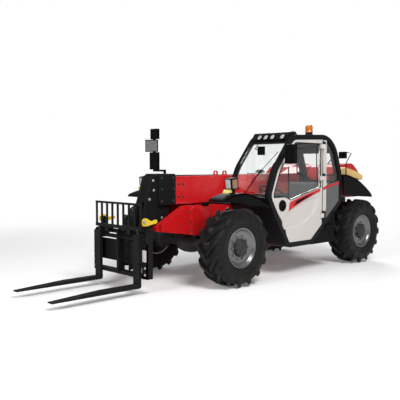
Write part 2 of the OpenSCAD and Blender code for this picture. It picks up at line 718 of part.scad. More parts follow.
// Yellow levers of the quick hitch at both ends of the carriage
module latch_levers() color("gold") place() for (s = [0, 1]) mirror([0, s, 0])
    slab(lever_y, lever_y + 25) polygon(rounded([[930, 790], [1030, 770], [1075, 770], [1080, 850], [1040, 875], [1020, 830]],
        [10, 15, 15, 20, 18, 15]));

chassis_frame();
axles();
counterweight();
engine_block();
engine_pod();
rear_cowls();
cab_floor();
cab_left_frame();
cab_right_wall();
cab_front();
cab_rear();
cab_roof();
quarter_panel();
windscreen();
cab_glass();
seat();
steering_column();
front_mudguards();
rear_mudguards();
headlamps();
tail_lamps();
roof_lamps();
beacon();
mirrors();
safety_prop();
bonnet();
door_panel();
door_glass();
boom_outer();
boom_inner();
tilt_barrel();
tilt_rod();
lift_barrel();
lift_rod();
carriage();
load_guard();
forks();
latch_levers();
knuckle_fl();
knuckle_fr();
knuckle_rl();
knuckle_rr();
rim_fl();
rim_fr();
rim_rl();
rim_rr();
tyre_fl();
tyre_fr();
tyre_rl();
tyre_rr();
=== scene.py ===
"""Finishes, fine pieces and studio of a compact telehandler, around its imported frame."""
import json
import math

import bmesh
import bpy
from bpy.props import FloatProperty, FloatVectorProperty, IntProperty, PointerProperty
from mathutils import Matrix, Vector
from mathutils.geometry import delaunay_2d_cdt


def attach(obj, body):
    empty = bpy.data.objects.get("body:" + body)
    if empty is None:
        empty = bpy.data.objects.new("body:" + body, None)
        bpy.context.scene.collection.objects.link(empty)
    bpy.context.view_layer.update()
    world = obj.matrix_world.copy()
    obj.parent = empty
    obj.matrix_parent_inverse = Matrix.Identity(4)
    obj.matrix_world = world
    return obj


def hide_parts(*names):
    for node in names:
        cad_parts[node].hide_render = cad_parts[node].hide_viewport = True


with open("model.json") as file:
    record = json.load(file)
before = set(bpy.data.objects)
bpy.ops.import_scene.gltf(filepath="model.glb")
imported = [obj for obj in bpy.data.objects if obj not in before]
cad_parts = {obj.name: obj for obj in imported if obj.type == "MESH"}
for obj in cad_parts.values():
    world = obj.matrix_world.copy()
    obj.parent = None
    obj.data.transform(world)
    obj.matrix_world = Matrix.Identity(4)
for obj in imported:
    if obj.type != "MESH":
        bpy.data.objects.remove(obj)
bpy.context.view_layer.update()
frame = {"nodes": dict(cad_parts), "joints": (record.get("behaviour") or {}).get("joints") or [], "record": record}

bl_info = {
    "name": "Telehandler looks",
    "version": (1, 0, 0),
    "blender": (4, 5, 0),
    "location": "View3D > Sidebar > Telehandler",
    "description": "Finishes, fine pieces and studio of a compact telehandler",
    "category": "Object",
}

JOINTS = {joint["name"]: joint for joint in frame["joints"]}
SLOTS = {row["node"]: row["material_slot"] for row in frame["record"]["subparts"]}
BODIES = {node: body for body, nodes in frame["record"]["behaviour"]["bodies"].items() for node in nodes}
CORNERS = ("fl", "fr", "rl", "rr")
SIDES = (1, -1)
FRONT_X = JOINTS["spin_fl"]["pos_m"][0]


def spot(x, y, z):
    """A point given along X from the front axle, in metres."""
    return Vector((FRONT_X + x, y, z))


def colour(name, text, value):
    """A colour that a user may change."""
    return FloatVectorProperty(name=name, description=text, subtype="COLOR", size=3, min=0, max=1,
                               default=value)


def length(name, text, value, low=0.0, high=10.0):
    """A length that a user may change."""
    return FloatProperty(name=name, description=text, unit="LENGTH", default=value, min=low, max=high)


class FinishColours(bpy.types.PropertyGroup):
    """Colours of the machine's finishes."""
    red: colour("Red", "Paint of the boom, the frame and the covers", (0.54, 0.006, 0.009))
    black: colour("Black", "Paint of the boom head, the carriage and the cab", (0.01, 0.01, 0.0105))
    moulding: colour("Moulding", "Black plastic of the mudguards", (0.004, 0.004, 0.0043))
    pale: colour("Door", "Warm grey of the door", (0.6, 0.565, 0.54))
    smoke: colour("Quarter panel", "Dark grey of the quarter panel", (0.085, 0.086, 0.088))
    silver: colour("Rims", "Silver paint of the rims", (0.17, 0.17, 0.175))
    rubber: colour("Tyres", "Rubber of the tyres", (0.0085, 0.0083, 0.0081))
    yellow: colour("Levers", "Yellow of the latch levers", (0.75, 0.52, 0.012))
    prop: colour("Prop", "Pale yellow of the safety prop", (0.72, 0.5, 0.17))
    amber: colour("Amber", "Amber of the beacon and the indicators", (0.5, 0.15, 0.013))
    dust: colour("Dust", "Fine dust low on the machine", (0.3, 0.27, 0.23))


class StudioSizes(bpy.types.PropertyGroup):
    """Camera and floor of the studio."""
    lens: FloatProperty(name="Lens", description="Focal length on a 36 mm sensor", unit="CAMERA",
                        default=52.07)
    camera_x: length("Ahead", "Camera's distance ahead of the front axle", 5.234)
    camera_y: length("Aside", "Camera's distance from the machine's middle", 5.678)
    camera_z: length("Height", "Camera's height over the floor", 1.485)
    yaw: FloatProperty(name="Yaw", description="Heading of the camera", subtype="ANGLE",
                       default=math.radians(226.89))
    pitch: FloatProperty(name="Pitch", description="Dip of the camera", subtype="ANGLE",
                         default=math.radians(3.33))
    floor: length("Floor", "Half width of the floor", 40.0, 5.0, 100.0)


class LookSettings(bpy.types.PropertyGroup):
    """All settings of the looks."""
    colours: PointerProperty(type=FinishColours)
    studio: PointerProperty(type=StudioSizes)


def settings():
    return bpy.context.scene.telehandler


# Shader node groups

def new_group(name, inputs, outputs):
    """An empty shader group with its sockets. Returns the tree, its input and its output node."""
    tree = bpy.data.node_groups.new(name, "ShaderNodeTree")
    for label, kind, default in inputs:
        socket = tree.interface.new_socket(name=label, in_out="INPUT", socket_type=kind)
        socket.default_value = default
    for label, kind in outputs:
        tree.interface.new_socket(name=label, in_out="OUTPUT", socket_type=kind)
    return tree, tree.nodes.new("NodeGroupInput"), tree.nodes.new("NodeGroupOutput")


def add_node(tree, kind, links=(), **values):
    """A node with its attributes set, then its inputs linked or filled."""
    node = tree.nodes.new(kind)
    for key, value in values.items():
        setattr(node, key, value)
    for socket, value in links:
        if isinstance(value, bpy.types.NodeSocket):
            tree.links.new(value, node.inputs[socket])
        else:
            node.inputs[socket].default_value = value
    return node


def mixed(tree, factor, first, second):
    """The colour that mixes two others. Sockets 0, 6, 7 and 2 are the node's colour sockets."""
    return add_node(tree, "ShaderNodeMix", [(0, factor), (6, first), (7, second)],
                    data_type="RGBA").outputs[2]


def maths(tree, operation, first, second):
    """The value that joins two others."""
    return add_node(tree, "ShaderNodeMath", [(0, first), (1, second)], operation=operation).outputs[0]


def tint_group():
    """Slow change of shade over a surface."""
    tree, given, made = new_group(
        "tint_change",
        [("Color", "NodeSocketColor", (0.5, 0.5, 0.5, 1)), ("Scale", "NodeSocketFloat", 2.0),
         ("Amount", "NodeSocketFloat", 0.15)],
        [("Color", "NodeSocketColor")])
    place = add_node(tree, "ShaderNodeTexCoord").outputs["Object"]
    noise = add_node(tree, "ShaderNodeTexNoise",
                     [("Vector", place), ("Scale", given.outputs["Scale"]), ("Detail", 4.0)])
    shift = maths(tree, "MULTIPLY", maths(tree, "SUBTRACT", noise.outputs[0], 0.5), given.outputs["Amount"])
    value = maths(tree, "ADD", maths(tree, "MULTIPLY", shift, 2.0), 1.0)
    shade = add_node(tree, "ShaderNodeHueSaturation", [("Value", value), ("Color", given.outputs["Color"])])
    tree.links.new(shade.outputs[0], made.inputs["Color"])
    return tree


def grain_group():
    """Fine relief: orange peel in paint, grain in mouldings, pores in rubber."""
    tree, given, made = new_group(
        "fine_grain",
        [("Scale", "NodeSocketFloat", 400.0), ("Roughness", "NodeSocketFloat", 0.4),
         ("Spread", "NodeSocketFloat", 0.1)],
        [("Height", "NodeSocketFloat"), ("Roughness", "NodeSocketFloat")])
    place = add_node(tree, "ShaderNodeTexCoord").outputs["Object"]
    fine = add_node(tree, "ShaderNodeTexNoise",
                    [("Vector", place), ("Scale", given.outputs["Scale"]), ("Detail", 3.0)])
    broad = add_node(tree, "ShaderNodeTexNoise", [("Vector", place), ("Scale", 5.0), ("Detail", 5.0)])
    shift = maths(tree, "MULTIPLY", maths(tree, "SUBTRACT", broad.outputs[0], 0.5), given.outputs["Spread"])
    tree.links.new(fine.outputs[0], made.inputs["Height"])
    tree.links.new(maths(tree, "ADD", given.outputs["Roughness"], shift), made.inputs["Roughness"])
    return tree


def dust_group():
    """Mask of fine dust: low on the machine and on faces that look up."""
    tree, given, made = new_group(
        "dust_film", [("Reach", "NodeSocketFloat", 0.9), ("Amount", "NodeSocketFloat", 0.3)],
        [("Mask", "NodeSocketFloat")])
    shape = add_node(tree, "ShaderNodeNewGeometry")
    place = add_node(tree, "ShaderNodeTexCoord").outputs["Object"]
    height = add_node(tree, "ShaderNodeSeparateXYZ", [("Vector", place)]).outputs["Z"]
    up = add_node(tree, "ShaderNodeSeparateXYZ", [("Vector", shape.outputs["Normal"])]).outputs["Z"]
    low = add_node(tree, "ShaderNodeMapRange", [("Value", height), ("From Max", given.outputs["Reach"]),
                                                ("To Min", 1.0), ("To Max", 0.0)]).outputs[0]
    flat = maths(tree, "MULTIPLY", maths(tree, "MAXIMUM", up, 0.0), 0.35)
    noise = add_node(tree, "ShaderNodeTexNoise",
                     [("Vector", place), ("Scale", 9.0), ("Detail", 6.0)]).outputs[0]
    spread = maths(tree, "MULTIPLY", maths(tree, "ADD", low, flat), noise)
    tree.links.new(maths(tree, "MULTIPLY", spread, given.outputs["Amount"]), made.inputs["Mask"])
    return tree


def edge_highlight_group():
    """Mask of the edges, where a lighter colour is painted on as a highlight."""
    tree, given, made = new_group(
        "edge_highlight", [("Radius", "NodeSocketFloat", 0.006), ("Amount", "NodeSocketFloat", 0.5)],
        [("Mask", "NodeSocketFloat")])
    shape = add_node(tree, "ShaderNodeNewGeometry")
    soft = add_node(tree, "ShaderNodeBevel", [("Radius", given.outputs["Radius"])], samples=4)
    match = add_node(tree, "ShaderNodeVectorMath", [(0, soft.outputs[0]), (1, shape.outputs["Normal"])],
                     operation="DOT_PRODUCT").outputs["Value"]
    edge = add_node(tree, "ShaderNodeMapRange", [("Value", match), ("From Min", 0.98), ("From Max", 0.8),
                                                 ("To Min", 0.0), ("To Max", 1.0)]).outputs[0]
    tree.links.new(maths(tree, "MULTIPLY", edge, given.outputs["Amount"]), made.inputs["Mask"])
    return tree


GROUPS = {}


def group_node(tree, name, links):
    """A shared effect placed in a material."""
    makers = {"tint": tint_group, "grain": grain_group, "dust": dust_group, "highlight": edge_highlight_group}
    if name not in GROUPS:
        GROUPS[name] = makers[name]()
    return add_node(tree, "ShaderNodeGroup", links, node_tree=GROUPS[name])


def new_material(name):
    """A material with an empty Principled shader. Returns the material, its tree and the shader."""
    material = bpy.data.materials.new(name)
    material.use_nodes = True
    return material, material.node_tree, material.node_tree.nodes["Principled BSDF"]


def coated(name, tone, roughness, metallic=0.0, coat=0.0, scale=350.0, depth=0.0006, tint=0.08,
           dust=0.25, highlight=0.0, edge=(0.3, 0.3, 0.3), spread=0.1, gloss=0.5):
    """Paint, moulding or rubber: tinted colour, dust, edges painted lighter as highlights and fine relief."""
    material, tree, shader = new_material(name)
    tinted = group_node(tree, "tint",
                        [("Color", (*tone, 1)), ("Scale", 1.7), ("Amount", tint)]).outputs["Color"]
    # Edges get a lighter colour painted on as a highlight, in place of light caught by the rounded edges.
    if highlight:
        mask = group_node(tree, "highlight", [("Radius", 0.006), ("Amount", highlight)]).outputs["Mask"]
        tinted = mixed(tree, mask, tinted, (*edge, 1))
    film = group_node(tree, "dust", [("Reach", 1.0), ("Amount", dust)]).outputs["Mask"]
    tree.links.new(mixed(tree, film, tinted, (*settings().colours.dust, 1)), shader.inputs["Base Color"])
    grain = group_node(tree, "grain", [("Scale", scale), ("Roughness", roughness), ("Spread", spread)])
    tree.links.new(grain.outputs["Roughness"], shader.inputs["Roughness"])
    bump = add_node(tree, "ShaderNodeBump",
                    [("Height", grain.outputs["Height"]), ("Strength", 0.5), ("Distance", depth)])
    tree.links.new(bump.outputs[0], shader.inputs["Normal"])
    shader.inputs["Metallic"].default_value = metallic
    shader.inputs["Specular IOR Level"].default_value = gloss
    shader.inputs["Coat Weight"].default_value = coat
    shader.inputs["Coat Roughness"].default_value = 0.06
    return material


def clear_glass(name, tone=(0.96, 0.975, 0.97)):
    """Window glass that lets light through to the inside."""
    material, tree, shader = new_material(name)
    smear = group_node(tree, "grain", [("Scale", 40.0), ("Roughness", 0.02), ("Spread", 0.02)])
    tree.links.new(smear.outputs["Roughness"], shader.inputs["Roughness"])
    shader.inputs["Base Color"].default_value = (*tone, 1)
    shader.inputs["Transmission Weight"].default_value = 1.0
    shader.inputs["IOR"].default_value = 1.45
    path = add_node(tree, "ShaderNodeLightPath")
    through = add_node(tree, "ShaderNodeBsdfTransparent", [("Color", (*tone, 1))])
    blend = add_node(tree, "ShaderNodeMixShader", [(0, path.outputs["Is Shadow Ray"]), (1, shader.outputs[0]),
                                                   (2, through.outputs[0])])
    tree.links.new(blend.outputs[0], tree.nodes["Material Output"].inputs["Surface"])
    return material


def lens(name, tone, glow=0.0, rough=0.12):
    """Coloured lamp plastic with a faint fluted relief."""
    material, tree, shader = new_material(name)
    place = add_node(tree, "ShaderNodeTexCoord").outputs["Object"]
    flutes = add_node(tree, "ShaderNodeTexWave", [("Vector", place), ("Scale", 60.0), ("Distortion", 0.0)])
    tinted = group_node(tree, "tint",
                        [("Color", (*tone, 1)), ("Scale", 8.0), ("Amount", 0.12)]).outputs["Color"]
    tree.links.new(tinted, shader.inputs["Base Color"])
    bump = add_node(tree, "ShaderNodeBump",
                    [("Height", flutes.outputs["Fac"]), ("Strength", 0.3), ("Distance", 0.0015)])
    tree.links.new(bump.outputs[0], shader.inputs["Normal"])
    shader.inputs["Roughness"].default_value = rough
    shader.inputs["Coat Weight"].default_value = 0.6
    if glow:
        tree.links.new(tinted, shader.inputs["Emission Color"])
        shader.inputs["Emission Strength"].default_value = glow
    return material


FINISHES = {}


def finish(name):
    """The material of that name, made when it is first used."""
    if name not in FINISHES:
        tone = settings().colours
        # The edge colours here and in the table below are lighter tones painted on the edges as highlights.
        red_edge = (0.75, 0.12, 0.12)
        coats = {
            "red_paint": dict(tone=tone.red, roughness=0.34, coat=0.15, dust=0.05, highlight=0.2, edge=red_edge,
                              gloss=0.3),
            "red_cover": dict(tone=tone.red, roughness=0.3, coat=0.2, dust=0.05, highlight=0.15, edge=red_edge,
                              gloss=0.3),
            "black_paint": dict(tone=tone.black, roughness=0.42, highlight=0.3, edge=(0.1, 0.1, 0.105), dust=0.015,
                                gloss=0.06),
            "cab_paint": dict(tone=tone.black, roughness=0.36, highlight=0.25, edge=(0.09, 0.09, 0.095),
                              dust=0.012, gloss=0.06),
            "axle_paint": dict(tone=(0.02, 0.02, 0.021), roughness=0.5, highlight=0.4, edge=(0.12, 0.12, 0.12),
                               dust=0.15, gloss=0.25),
            "pale_bolts": dict(tone=(0.45, 0.45, 0.44), roughness=0.4, metallic=0.6, tint=0.1, dust=0.1),
            "rim_paint": dict(tone=tone.silver, roughness=0.32, metallic=0.7, coat=0.2, dust=0.06),
            "engine_metal": dict(tone=(0.16, 0.16, 0.165), roughness=0.6, metallic=0.4, scale=120,
                                 depth=0.002),
            "black_moulding": dict(tone=tone.moulding, roughness=0.5, scale=900, depth=0.0012, dust=0.012,
                                   highlight=0.2, edge=(0.06, 0.06, 0.06), gloss=0.06),
            "pale_panel": dict(tone=tone.pale, roughness=0.36, coat=0.35, tint=0.04, dust=0.1),
            "smoke_panel": dict(tone=tone.smoke, roughness=0.4, coat=0.2, tint=0.06, dust=0.12),
            "seat_cloth": dict(tone=(0.016, 0.016, 0.018), roughness=0.85, scale=700, depth=0.003, dust=0.1),
            "prop_paint": dict(tone=tone.prop, roughness=0.45, highlight=0.4, edge=(0.85, 0.75, 0.5)),
            "lever_paint": dict(tone=tone.yellow, roughness=0.4, highlight=0.4, edge=(0.9, 0.8, 0.35)),
            "rod_chrome": dict(tone=(0.62, 0.62, 0.64), roughness=0.12, metallic=1.0, tint=0.03, dust=0.05),
            "tyre_rubber": dict(tone=tone.rubber, roughness=0.5, scale=260, depth=0.0025, tint=0.2, dust=0.03,
                                highlight=0.3, edge=(0.06, 0.059, 0.057), gloss=0.14),
        }
        lenses = {
            "lamp_lens": dict(tone=(0.42, 0.42, 0.425)),
            "red_lens": dict(tone=(0.45, 0.006, 0.008)),
            "brown_lens": dict(tone=(0.24, 0.12, 0.06)),
            "yellow_lens": dict(tone=(0.8, 0.66, 0.13)),
            "amber_lens": dict(tone=tone.amber, glow=0.05),
        }
        if name == "glass":
            FINISHES[name] = clear_glass(name)
        elif name in coats:
            FINISHES[name] = coated(name, **coats[name])
        else:
            FINISHES[name] = lens(name, **lenses[name])
    return FINISHES[name]


# Mesh helpers. Points are in metres from the front axle, sideways from the middle and up from the ground.

def skin(bm, rings, loop=False):
    """Faces between rows of points, closed by a cap at both ends or joined into a loop."""
    rows = [[bm.verts.new(point) for point in ring] for ring in rings]
    count = len(rows[0])
    for low, high in zip(rows, rows[1:] + (rows[:1] if loop else [])):
        for i in range(count):
            j = (i + 1) % count
            bm.faces.new((low[i], low[j], high[j], high[i]))
    if not loop:
        bm.faces.new(rows[0][::-1])
        bm.faces.new(rows[-1])


def prism(bm, outline, low, high, axis="Y"):
    """An outline in the two other coordinates, pulled along one axis."""
    lay = {"X": lambda a, b, c: spot(c, a, b), "Y": lambda a, b, c: spot(a, c, b), "Z": spot}[axis]
    skin(bm, [[lay(a, b, c) for a, b in outline] for c in (low, high)])


def within(p, line):
    """Whether a point lies inside a closed outline."""
    odd = False
    for a, b in zip(line, [*line[1:], line[0]]):
        if (a[1] > p.y) != (b[1] > p.y) and p.x < a[0] + (b[0] - a[0]) * (p.y - a[1]) / (b[1] - a[1]):
            odd = not odd
    return odd


def plate(bm, outlines, low, high):
    """An outline in X and Z with holes in it, pulled along Y."""
    points, rim, made = [], [], []
    for line in outlines:
        first, count = len(points), len(line)
        points += [Vector(p) for p in line]
        rim += [(first + i, first + (i + 1) % count) for i in range(count)]
    flat, _, faces, *_ = delaunay_2d_cdt(points, rim, [], 0, 1e-6)
    middles = [sum((flat[i] for i in face), Vector((0, 0))) / len(face) for face in faces]
    faces = [face for face, p in zip(faces, middles) if sum(within(p, line) for line in outlines) % 2]
    for y in (low, high):
        cap = [bm.verts.new(spot(p.x, y, p.y)) for p in flat]
        for face in faces:
            bm.faces.new([cap[i] for i in face])
        made += cap
    for a, b in rim:
        corners = ((points[a], low), (points[b], low), (points[b], high), (points[a], high))
        wall = [bm.verts.new(spot(p.x, y, p.y)) for p, y in corners]
        bm.faces.new(wall)
        made += wall
    bmesh.ops.remove_doubles(bm, verts=made, dist=1e-5)


def pair(bm, outlines, low, high):
    """The same plate on both sides of the machine."""
    for s in SIDES:
        plate(bm, outlines, s * low, s * high)


def boxes(bm, x0, x1, y0, y1, z0, z1):
    """The same block on both sides of the machine."""
    for s in SIDES:
        box(bm, x0, x1, *sorted((s * y0, s * y1)), z0, z1)


def arc(x, z, radius, start, end, steps):
    """Points on an arc in X and Z, its angles in degrees."""
    turns = [math.radians(start + (end - start) * k / steps) for k in range(steps + 1)]
    return [(x + radius * math.cos(a), z + radius * math.sin(a)) for a in turns]


def hole(x, z, radius):
    """A round opening in a plate."""
    return arc(x, z, radius, 0, 345, 23)


def bar(bm, x, z, radius, low, high):
    """A round bar along Y."""
    lathe(bm, [(radius, low), (radius, high)], spot(x, 0, z), (0, 1, 0), 40)


def box(bm, x0, x1, y0, y1, z0, z1):
    """A block between two stations along each axis."""
    prism(bm, [(x0, y0), (x1, y0), (x1, y1), (x0, y1)], z0, z1, "Z")


def circle(radius, steps, lobes=0, swell=0.0):
    """Points round a circle, swelling outwards in lobes if asked."""
    turns = [2 * math.pi * i / steps for i in range(steps)]
    return [(radius * (1 + swell * math.cos(lobes * a)) * math.cos(a),
             radius * (1 + swell * math.cos(lobes * a)) * math.sin(a)) for a in turns]


def lathe(bm, profile, centre, axis, steps=32, loop=False, lobes=0, swell=0.0):
    """A profile of radius and height turned round an axis."""
    turn = Vector(axis).to_track_quat("Z", "Y").to_matrix()
    skin(bm, [[centre + turn @ Vector((a, b, height)) for a, b in circle(radius, steps, lobes, swell)]
              for radius, height in profile], loop)


def tube(bm, path, radius, steps=10, loop=False):
    """A round bar along a path."""
    last = len(path) - 1
    side, rings = None, []
    for i, point in enumerate(path):
        if loop:
            back, ahead = path[i - 1], path[(i + 1) % len(path)]
        else:
            back, ahead = path[max(i - 1, 0)], path[min(i + 1, last)]
        along = (ahead - back).normalized()
        side = side or along.orthogonal()
        side = (side - along * side.dot(along)).normalized()
        across = along.cross(side)
        rings.append([point + radius * (a * side + b * across) for a, b in circle(1, steps)])
    skin(bm, rings, loop)


def curve(points, steps=8):
    """A smooth path through some points."""
    ends = [2 * points[0] - points[1], *points, 2 * points[-1] - points[-2]]
    path = []
    for a, b, c, d in zip(ends, ends[1:], ends[2:], ends[3:]):
        for t in (i / steps for i in range(steps)):
            path.append(b + 0.5 * t * (c - a + t * (2 * a - 5 * b + 4 * c - d + t * (3 * (b - c) + d - a))))
    return path + [points[-1]]


def bolts(bm, centres, axis, size):
    """Hexagon heads on washers."""
    for centre in centres:
        lathe(bm, [(1.4 * size, 0), (1.4 * size, 0.2 * size)], centre, axis, 16)
        lathe(bm, [(size, 0.2 * size), (size, 0.8 * size), (0.8 * size, 0.95 * size)], centre, axis, 6)


def soften(obj, width, segments=2):
    """Small rounded edges that catch the light."""
    edges = obj.modifiers.new("edges", "BEVEL")
    edges.width = width
    edges.segments = segments
    edges.limit_method = "ANGLE"
    edges.angle_limit = math.radians(35)
    edges.harden_normals = True


def piece(name, bm, body, slot, look=None, edge=0.002, stands_for=()):
    """A finished object made of the mesh, riding on a body."""
    bmesh.ops.recalc_face_normals(bm, faces=bm.faces)
    mesh = bpy.data.meshes.new(name)
    bm.to_mesh(mesh)
    bm.free()
    mesh.polygons.foreach_set("use_smooth", [True] * len(mesh.polygons))
    mesh.set_sharp_from_angle(angle=math.radians(35))
    mesh.materials.append(finish(look or slot))
    obj = bpy.data.objects.new(name, mesh)
    bpy.context.scene.collection.objects.link(obj)
    if edge:
        soften(obj, edge)
    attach(obj, body)
    if stands_for:
        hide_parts(*stands_for)
    return obj


def rebuilt(name, bm, node, edge=0.004):
    """A finer form of a solid, on its body and in its finish."""
    return piece(name, bm, BODIES[node], SLOTS[node], edge=edge, stands_for=(node,))


# Outline of the cab's sides

CAB_POINTS = [Vector(p) for p in ((-1.475, 0.4), (-0.932, 0.4), (-0.505, 1.09), (-0.66, 1.475), (-1.02, 1.91),
                                  (-1.99, 1.945), (-2.205, 1.39), (-2.205, 0.95))]
CAB_RADII = (0.09, 0.12, 0.2, 0.5, 0.2, 0.42, 0.4, 0.06)
BELT = ((-0.3, 1.085), (-0.88, 1.085), (-0.985, 1.04), (-1.304, 1.115), (-1.742, 1.208), (-2.4, 1.322))
# The door's hinges: their axis along X and across, and their heights
HINGE_X = JOINTS["door_swing"]["pos_m"][0] - FRONT_X
HINGE_Y = 0.95
HINGES_Z = (0.76, 1.29, 1.74)
# Pins of the carriage and the boom along X and Z, and the layer of the side glass across
TILT_PIN = (0.975, 0.33)
BOOM_PIVOT = (-2.8, 1.22)
PANE_Y = (0.902, 0.908)


def belt_z(x):
    """Height of the windows' lower edge at a station."""
    for (x0, z0), (x1, z1) in zip(BELT, BELT[1:]):
        if x1 <= x <= x0:
            return z0 + (z1 - z0) * (x0 - x) / (x0 - x1)
    return BELT[-1][1]


def rounded(points, radii, inset=0.0, steps=8):
    """A closed outline moved inwards, with an arc at each corner."""
    points = [Vector(p) for p in points]
    line = []
    for i, point in enumerate(points):
        u = (point - points[i - 1]).normalized()
        w = (points[(i + 1) % len(points)] - point).normalized()
        a, b = Vector((-u.y, u.x)), Vector((-w.y, w.x))
        corner = point + inset * (a + b) / (1 + a.dot(b))
        turn = math.atan2(u.x * w.y - u.y * w.x, u.dot(w))
        radius = math.copysign(radii[i] - inset, turn)
        centre = corner - u * radius * math.tan(turn / 2) + a * radius
        for k in range(steps + 1):
            c, s = math.cos(turn * k / steps), math.sin(turn * k / steps)
            line.append(centre + radius * Vector((u.y * c + u.x * s, u.y * s - u.x * c)))
    return line


def cab_line(inset, steps=16):
    """The cab's outline moved inwards."""
    return rounded(CAB_POINTS, CAB_RADII, inset, steps)


def clipped(line, keep):
    """The part of a closed outline where keep is positive."""
    part = []
    for a, b in zip(line[-1:] + line[:-1], line):
        p, q = keep(a), keep(b)
        if p * q < 0:
            part.append(a.lerp(b, p / (p - q)))
        if q >= 0:
            part.append(b)
    return part


# Longest part of an outline between two points where a run is cut from it
RUN_STEP = 0.03


def stretch(line, keep):
    """The open run of a closed outline where keep is positive, from its first end to its last."""
    ends = list(zip(line, line[1:] + line[:1]))
    parts = [max(1, round((b - a).length / RUN_STEP)) for a, b in ends]
    line = [a.lerp(b, k / n) for (a, b), n in zip(ends, parts) for k in range(n)]
    pairs = list(zip(line, line[1:] + line[:1]))
    first = next(i for i, (a, b) in enumerate(pairs) if keep(a) < 0 <= keep(b))
    run = []
    for a, b in pairs[first:] + pairs[:first]:
        p, q = keep(a), keep(b)
        if (p < 0) != (q < 0):
            run.append(a.lerp(b, p / (p - q)))
        if q >= 0:
            run.append(b)
        elif p >= 0:
            break
    return run


def wall_line(keep, outer=0.0, inner=0.05):
    """A strip along the cab's outline."""
    return stretch(cab_line(outer), keep) + stretch(cab_line(inner), keep)[::-1]


def window_line(inset, back=None, front=None):
    """Closed outline of a side window behind or ahead of a station, over the belt and under the roof."""
    top = [p for p in cab_line(inset) if (back is None or p.x > back) and (front is None or p.x < front)
           and p.y > belt_z(p.x)]
    if front is not None:
        top.insert(0, Vector((front, top[0].y)))
    if back is not None:
        top.append(Vector((back, top[-1].y)))
    rear, fore = top[-1].x, top[0].x
    low = [rear] + [x for x, z in reversed(BELT) if rear < x < fore] + [fore]
    return top + [Vector((x, belt_z(x))) for x in low]


